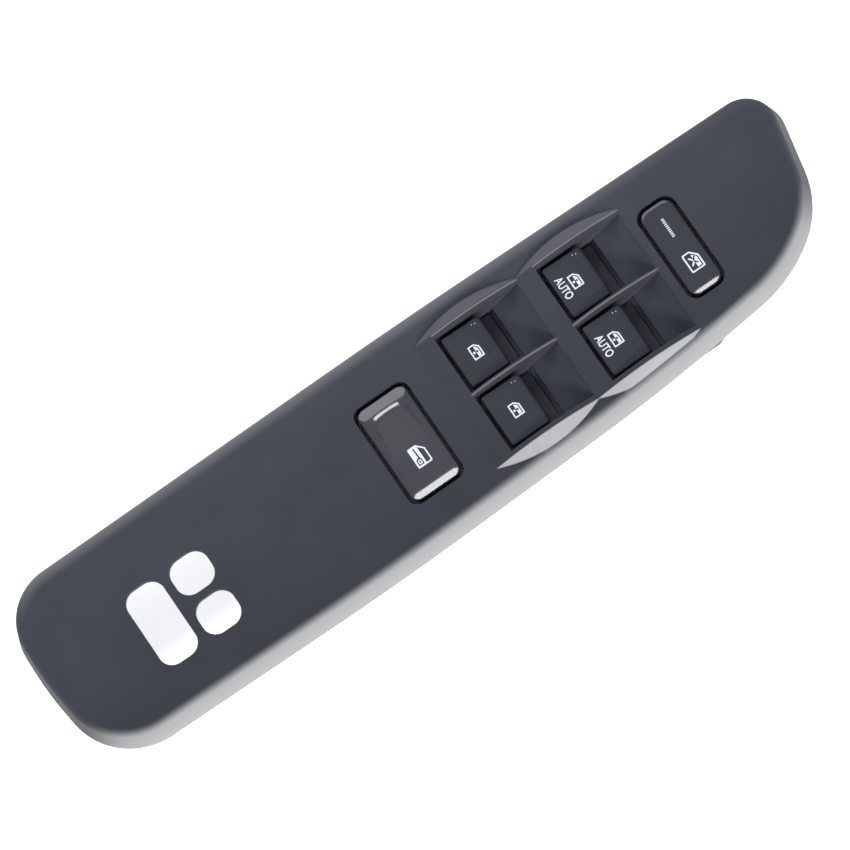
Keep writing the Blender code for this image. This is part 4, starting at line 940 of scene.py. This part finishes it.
def lockoutDrop(x, y, inset):
    width, slope = lockout["bevel"]
    run, facetSlope = lockout["frontFacet"]
    drop = softMax(0, slope * (width - inset), 0.25)
    return softMax(drop, facetSlope * (run - y - lockout["half"][1]), 0.4)


makeCap("lockout_button", "lockoutCap", "lockout", lockout, lockoutDrop)
print("buttons dressed")


# printed marks, and two painted glint dots on each window button, drawn in mm with right along a mark's line
# and up across it
# corners are places on the part; on the window buttons they count from the column and the row

marks = {"level": 28.0, "lift": 0.02 * mm}
windowMark = {
    "corner": {"rear": (7.05, 2.35), "front": (6.85, 3.0)},
    "outline": [(0, 0), (5.1, 0), (5.1, 3.8), (1.4, 3.8), (0, 2.3)],
    "line": 0.47,
    "glass": [(0.75, 1.85), (2.45, 1.85), (2.45, 2.2), (2.1, 2.2), (2.7, 2.75), (3.3, 2.2), (2.95, 2.2),
              (2.95, 1.85), (4.5, 1.85), (4.5, 2.95), (1.75, 2.95), (0.75, 2.0)],
    "arrow": [(2.45, 1.6), (2.45, 1.2), (2.1, 1.2), (2.7, 0.62), (3.3, 1.2), (2.95, 1.2), (2.95, 1.6)],
}
wordMark = {"corner": (2.95, 4.45), "size": (8.1, 2.9), "word": "AUTO"}
# painted glints: two pale dots on each window button stand for the glints on the ends of its grip ridges
paintedGlintMark = {"corner": (12.55, 8.1), "glintDots": ((0, 0), (0.25, 1.15)), "radius": 0.17, "sides": 8}
lockMark = {
    "corner": (-10.5, -4.2),
    "outline": [(0, 0), (7.6, 0), (7.5, 5.45), (2.5, 5.45), (0, 3.2)],
    "window": [(0.85, 3.3), (7.05, 3.3), (7.0, 4.98), (2.72, 4.98)],
    "bar": [(0.7, 1.6), (4.4, 1.75), (4.4, 1.1), (5.0, 0.6), (6.9, 0.6), (6.9, 2.6), (5.0, 2.6),
            (4.4, 2.3), (0.7, 2.1)],
    "lock": [(5.0, 1.0), (6.5, 1.0), (6.5, 2.2), (5.0, 2.2)],
    "lockInside": [(5.4, 1.35), (6.1, 1.35), (6.1, 1.85), (5.4, 1.85)],
    "strips": [-4.8 - 0.5 * n for n in range(15)],
}
lockoutMark = {
    "corner": (98.1, -2.9),
    "outline": [(0, 0), (7.0, 0), (7.0, 5.15), (2.45, 5.15), (0, 2.85)],
    "line": 0.52,
    "glass": [(1.25, 2.75), (2.75, 2.75), (1.95, 3.5), (2.3, 3.85), (3.5, 2.8), (4.7, 3.85), (5.05, 3.5),
              (4.25, 2.75), (6.05, 2.75), (6.05, 4.2), (2.75, 4.2)],
    "arms": [(2.75, 2.5), (1.85, 1.55), (2.15, 1.2), (3.5, 2.35), (4.85, 1.2), (5.15, 1.55), (4.25, 2.5)],
}
tickMark = {"corner": (99.5, 11.2), "count": 11, "pitch": 0.68, "width": 0.36, "height": 1.0}


def placeMark(obj, name, corner, body):
    # the mark's right is the part's -Y and its up is +X
    obj.rotation_euler = (0, 0, math.radians(-90))
    obj.location = (corner[0] * mm, corner[1] * mm, marks["level"] * mm + marks["lift"])
    return finishPiece(obj, name, body, materials["print"])


def flatMark(name, loops, corner, body):
    # closed outlines; an inner outline is a hole
    curve = bpy.data.curves.new(name, "CURVE")
    curve.dimensions = "2D"
    curve.fill_mode = "BOTH"
    for loop in loops:
        spline = curve.splines.new("POLY")
        spline.points.add(len(loop) - 1)
        for point, (x, y) in zip(spline.points, loop):
            point.co = (x * mm, y * mm, 0, 1)
        spline.use_cyclic_u = True
    obj = linked(name, curve)
    pickOnly(obj)
    bpy.ops.object.convert(target="MESH")
    return placeMark(obj, name, corner, body)


def wordOn(name, corner, body):
    deselectAll()
    bpy.ops.object.text_add(location=(0, 0, 0))
    obj = bpy.context.object
    obj.data.body = wordMark["word"]
    obj.data.size = 3 * mm
    obj.data.offset = 0.05 * mm
    bpy.ops.object.convert(target="MESH")
    xs = [v.co.x for v in obj.data.vertices]
    ys = [v.co.y for v in obj.data.vertices]
    wide, tall = wordMark["size"]
    obj.scale = (wide * mm / (max(xs) - min(xs)), tall * mm / (max(ys) - min(ys)), 1)
    placeMark(obj, name, corner, body)


def areaOf(loop):
    # negative when the outline runs clockwise
    return sum(a[0] * b[1] - b[0] * a[1] for a, b in zip(loop, loop[1:] + loop[:1]))


def innerLine(loop, width):
    # the same outline drawn in by the line's width, corners kept sharp
    turn = 1 if areaOf(loop) > 0 else -1
    drawn = []
    for index, point in enumerate(loop):
        here = Vector(point)
        first = (here - Vector(loop[index - 1])).normalized()
        second = (Vector(loop[(index + 1) % len(loop)]) - here).normalized()
        firstIn = Vector((-first.y, first.x)) * turn
        secondIn = Vector((-second.y, second.x)) * turn
        middle = (firstIn + secondIn).normalized()
        reach = width / max(0.3, middle.dot(firstIn))
        drawn.append(tuple(here + middle * reach))
    return drawn


def roundOff(loop, radius):
    if areaOf(loop) < 0:
        loop = list(reversed(loop))
    return roundCorners([(x, y, radius) for x, y in loop], 4)


def frameLoops(mark, outerRound, innerRound):
    # outer and inner edge of a drawn line
    inner = innerLine(mark["outline"], mark["line"])
    return [roundOff(mark["outline"], outerRound), roundOff(inner, innerRound)]


def onButton(side, corner):
    column, row = side.split("_")
    return block["columns"][column] + corner[0], block["rows"][row] + corner[1]


# door glass half down, with an arrow up and one down
windowLoops = frameLoops(windowMark, 0.25, 0.1) + [windowMark["glass"], windowMark["arrow"]]
for side in block["sides"]:
    column = side.split("_")[0]
    corner = onButton(side, windowMark["corner"][column])
    flatMark("windowMark_" + side, windowLoops, corner, "button_" + side)
    if column == "front":
        wordOn("wordMark_" + side, onButton(side, wordMark["corner"]), "button_" + side)

# the painted glint dots, laid on in the print's white
angles = [math.tau * k / paintedGlintMark["sides"] for k in range(paintedGlintMark["sides"])]
glintDots = [[(x + paintedGlintMark["radius"] * math.cos(a), y + paintedGlintMark["radius"] * math.sin(a)) for a in angles]
        for x, y in paintedGlintMark["glintDots"]]
for side in block["sides"]:
    flatMark("paintedGlintMark_" + side, glintDots, onButton(side, paintedGlintMark["corner"]), "button_" + side)

lockLoops = [roundOff(lockMark["outline"], 0.5), lockMark["window"], lockMark["bar"], lockMark["lock"],
             lockMark["lockInside"]]
lockDrawing = flatMark("lockMark", lockLoops, lockMark["corner"], "rocker")
lockoutLoops = frameLoops(lockoutMark, 0.5, 0.3) + [lockoutMark["glass"], lockoutMark["arms"]]
flatMark("lockoutMark", lockoutLoops, lockoutMark["corner"], "lockout")
ticks = []
for n in range(tickMark["count"]):
    left = n * tickMark["pitch"]
    right = left + tickMark["width"]
    ticks.append([(left, 0), (right, 0), (right, tickMark["height"]), (left, tickMark["height"])])
flatMark("tickMark", ticks, tickMark["corner"], "lockout")


def layOn(mark, target, lines):
    # cuts a flat mark into strips and drops it on a curved face
    pickOnly(mark)
    bpy.ops.object.mode_set(mode="EDIT")
    for y in lines:
        bpy.ops.mesh.select_all(action="SELECT")
        bpy.ops.mesh.bisect(plane_co=(0, y * mm, 0), plane_no=(0, 1, 0))
    bpy.ops.object.mode_set(mode="OBJECT")
    wrap = mark.modifiers.new("drop", "SHRINKWRAP")
    wrap.target = target
    wrap.wrap_method = "PROJECT"
    wrap.use_project_z = True
    wrap.use_negative_direction = True
    wrap.use_positive_direction = True
    wrap.offset = marks["lift"]
    applyAll(mark)


layOn(lockDrawing, rockerSkin, lockMark["strips"])
print("marks printed")


# floor, light and background

lightSetup = {
    "aim": (0, 0, 0.02),
    "front": {"place": (0.05, -0.9, 0.47), "size": (1.3, 0.13), "power": 12.5},
    "back": {"place": (0.0, 0.85, 0.70), "size": (1.3, 0.6), "power": 6.5},
    "world": 0.47,
    "worldColour": (0.88, 0.97, 1.20),
    "floorColour": (0.85, 0.85, 0.85),
    "floorGlow": 0.75,             # for camera, glossy and transmission rays only
}


def makeFloor(level):
    bpy.ops.mesh.primitive_plane_add(size=8, location=(0, 0, level))
    floor = bpy.context.object
    floor.name = "paleFloor"
    material, tree, shader = newMaterial("floorWhite")
    shader.inputs["Base Color"].default_value = (*lightSetup["floorColour"], 1)
    shader.inputs["Roughness"].default_value = 0.9
    shader.inputs["Specular IOR Level"].default_value = 0.0
    shader.inputs["Emission Color"].default_value = (1, 1, 1, 1)
    ray = tree.nodes.new("ShaderNodeLightPath").outputs
    seen = calc(tree, "MAXIMUM", ray["Is Camera Ray"], ray["Is Glossy Ray"])
    seen = calc(tree, "MAXIMUM", seen, ray["Is Transmission Ray"])
    glow = calc(tree, "MULTIPLY", seen, lightSetup["floorGlow"])
    tree.links.new(glow, shader.inputs["Emission Strength"])
    floor.data.materials.append(material)


def makeLamp(name, setup):
    place = Vector(setup["place"])
    turn = (Vector(lightSetup["aim"]) - place).to_track_quat("-Z", "Y").to_euler()
    bpy.ops.object.light_add(type="AREA", location=place, rotation=turn)
    lamp = bpy.context.object
    lamp.name = name
    lamp.data.shape = "RECTANGLE"
    lamp.data.size, lamp.data.size_y = setup["size"]
    lamp.data.energy = setup["power"]


def makeWorld():
    # lights at its own strength and shows to the camera at strength 1
    world = bpy.data.worlds.new("studio")
    bpy.context.scene.world = world
    world.use_nodes = True
    tree = world.node_tree
    background = tree.nodes["Background"]
    background.inputs["Color"].default_value = (*lightSetup["worldColour"], 1)
    ray = tree.nodes.new("ShaderNodeLightPath").outputs
    strength = remap(tree, ray["Is Camera Ray"], lightSetup["world"], 1.0)
    tree.links.new(strength, background.inputs["Strength"])


makeFloor(cadBox[0][2])
makeLamp("frontLight", lightSetup["front"])
makeLamp("backLight", lightSetup["back"])
makeWorld()
bpy.context.scene.view_settings.view_transform = "Standard"
print("stage and light set")
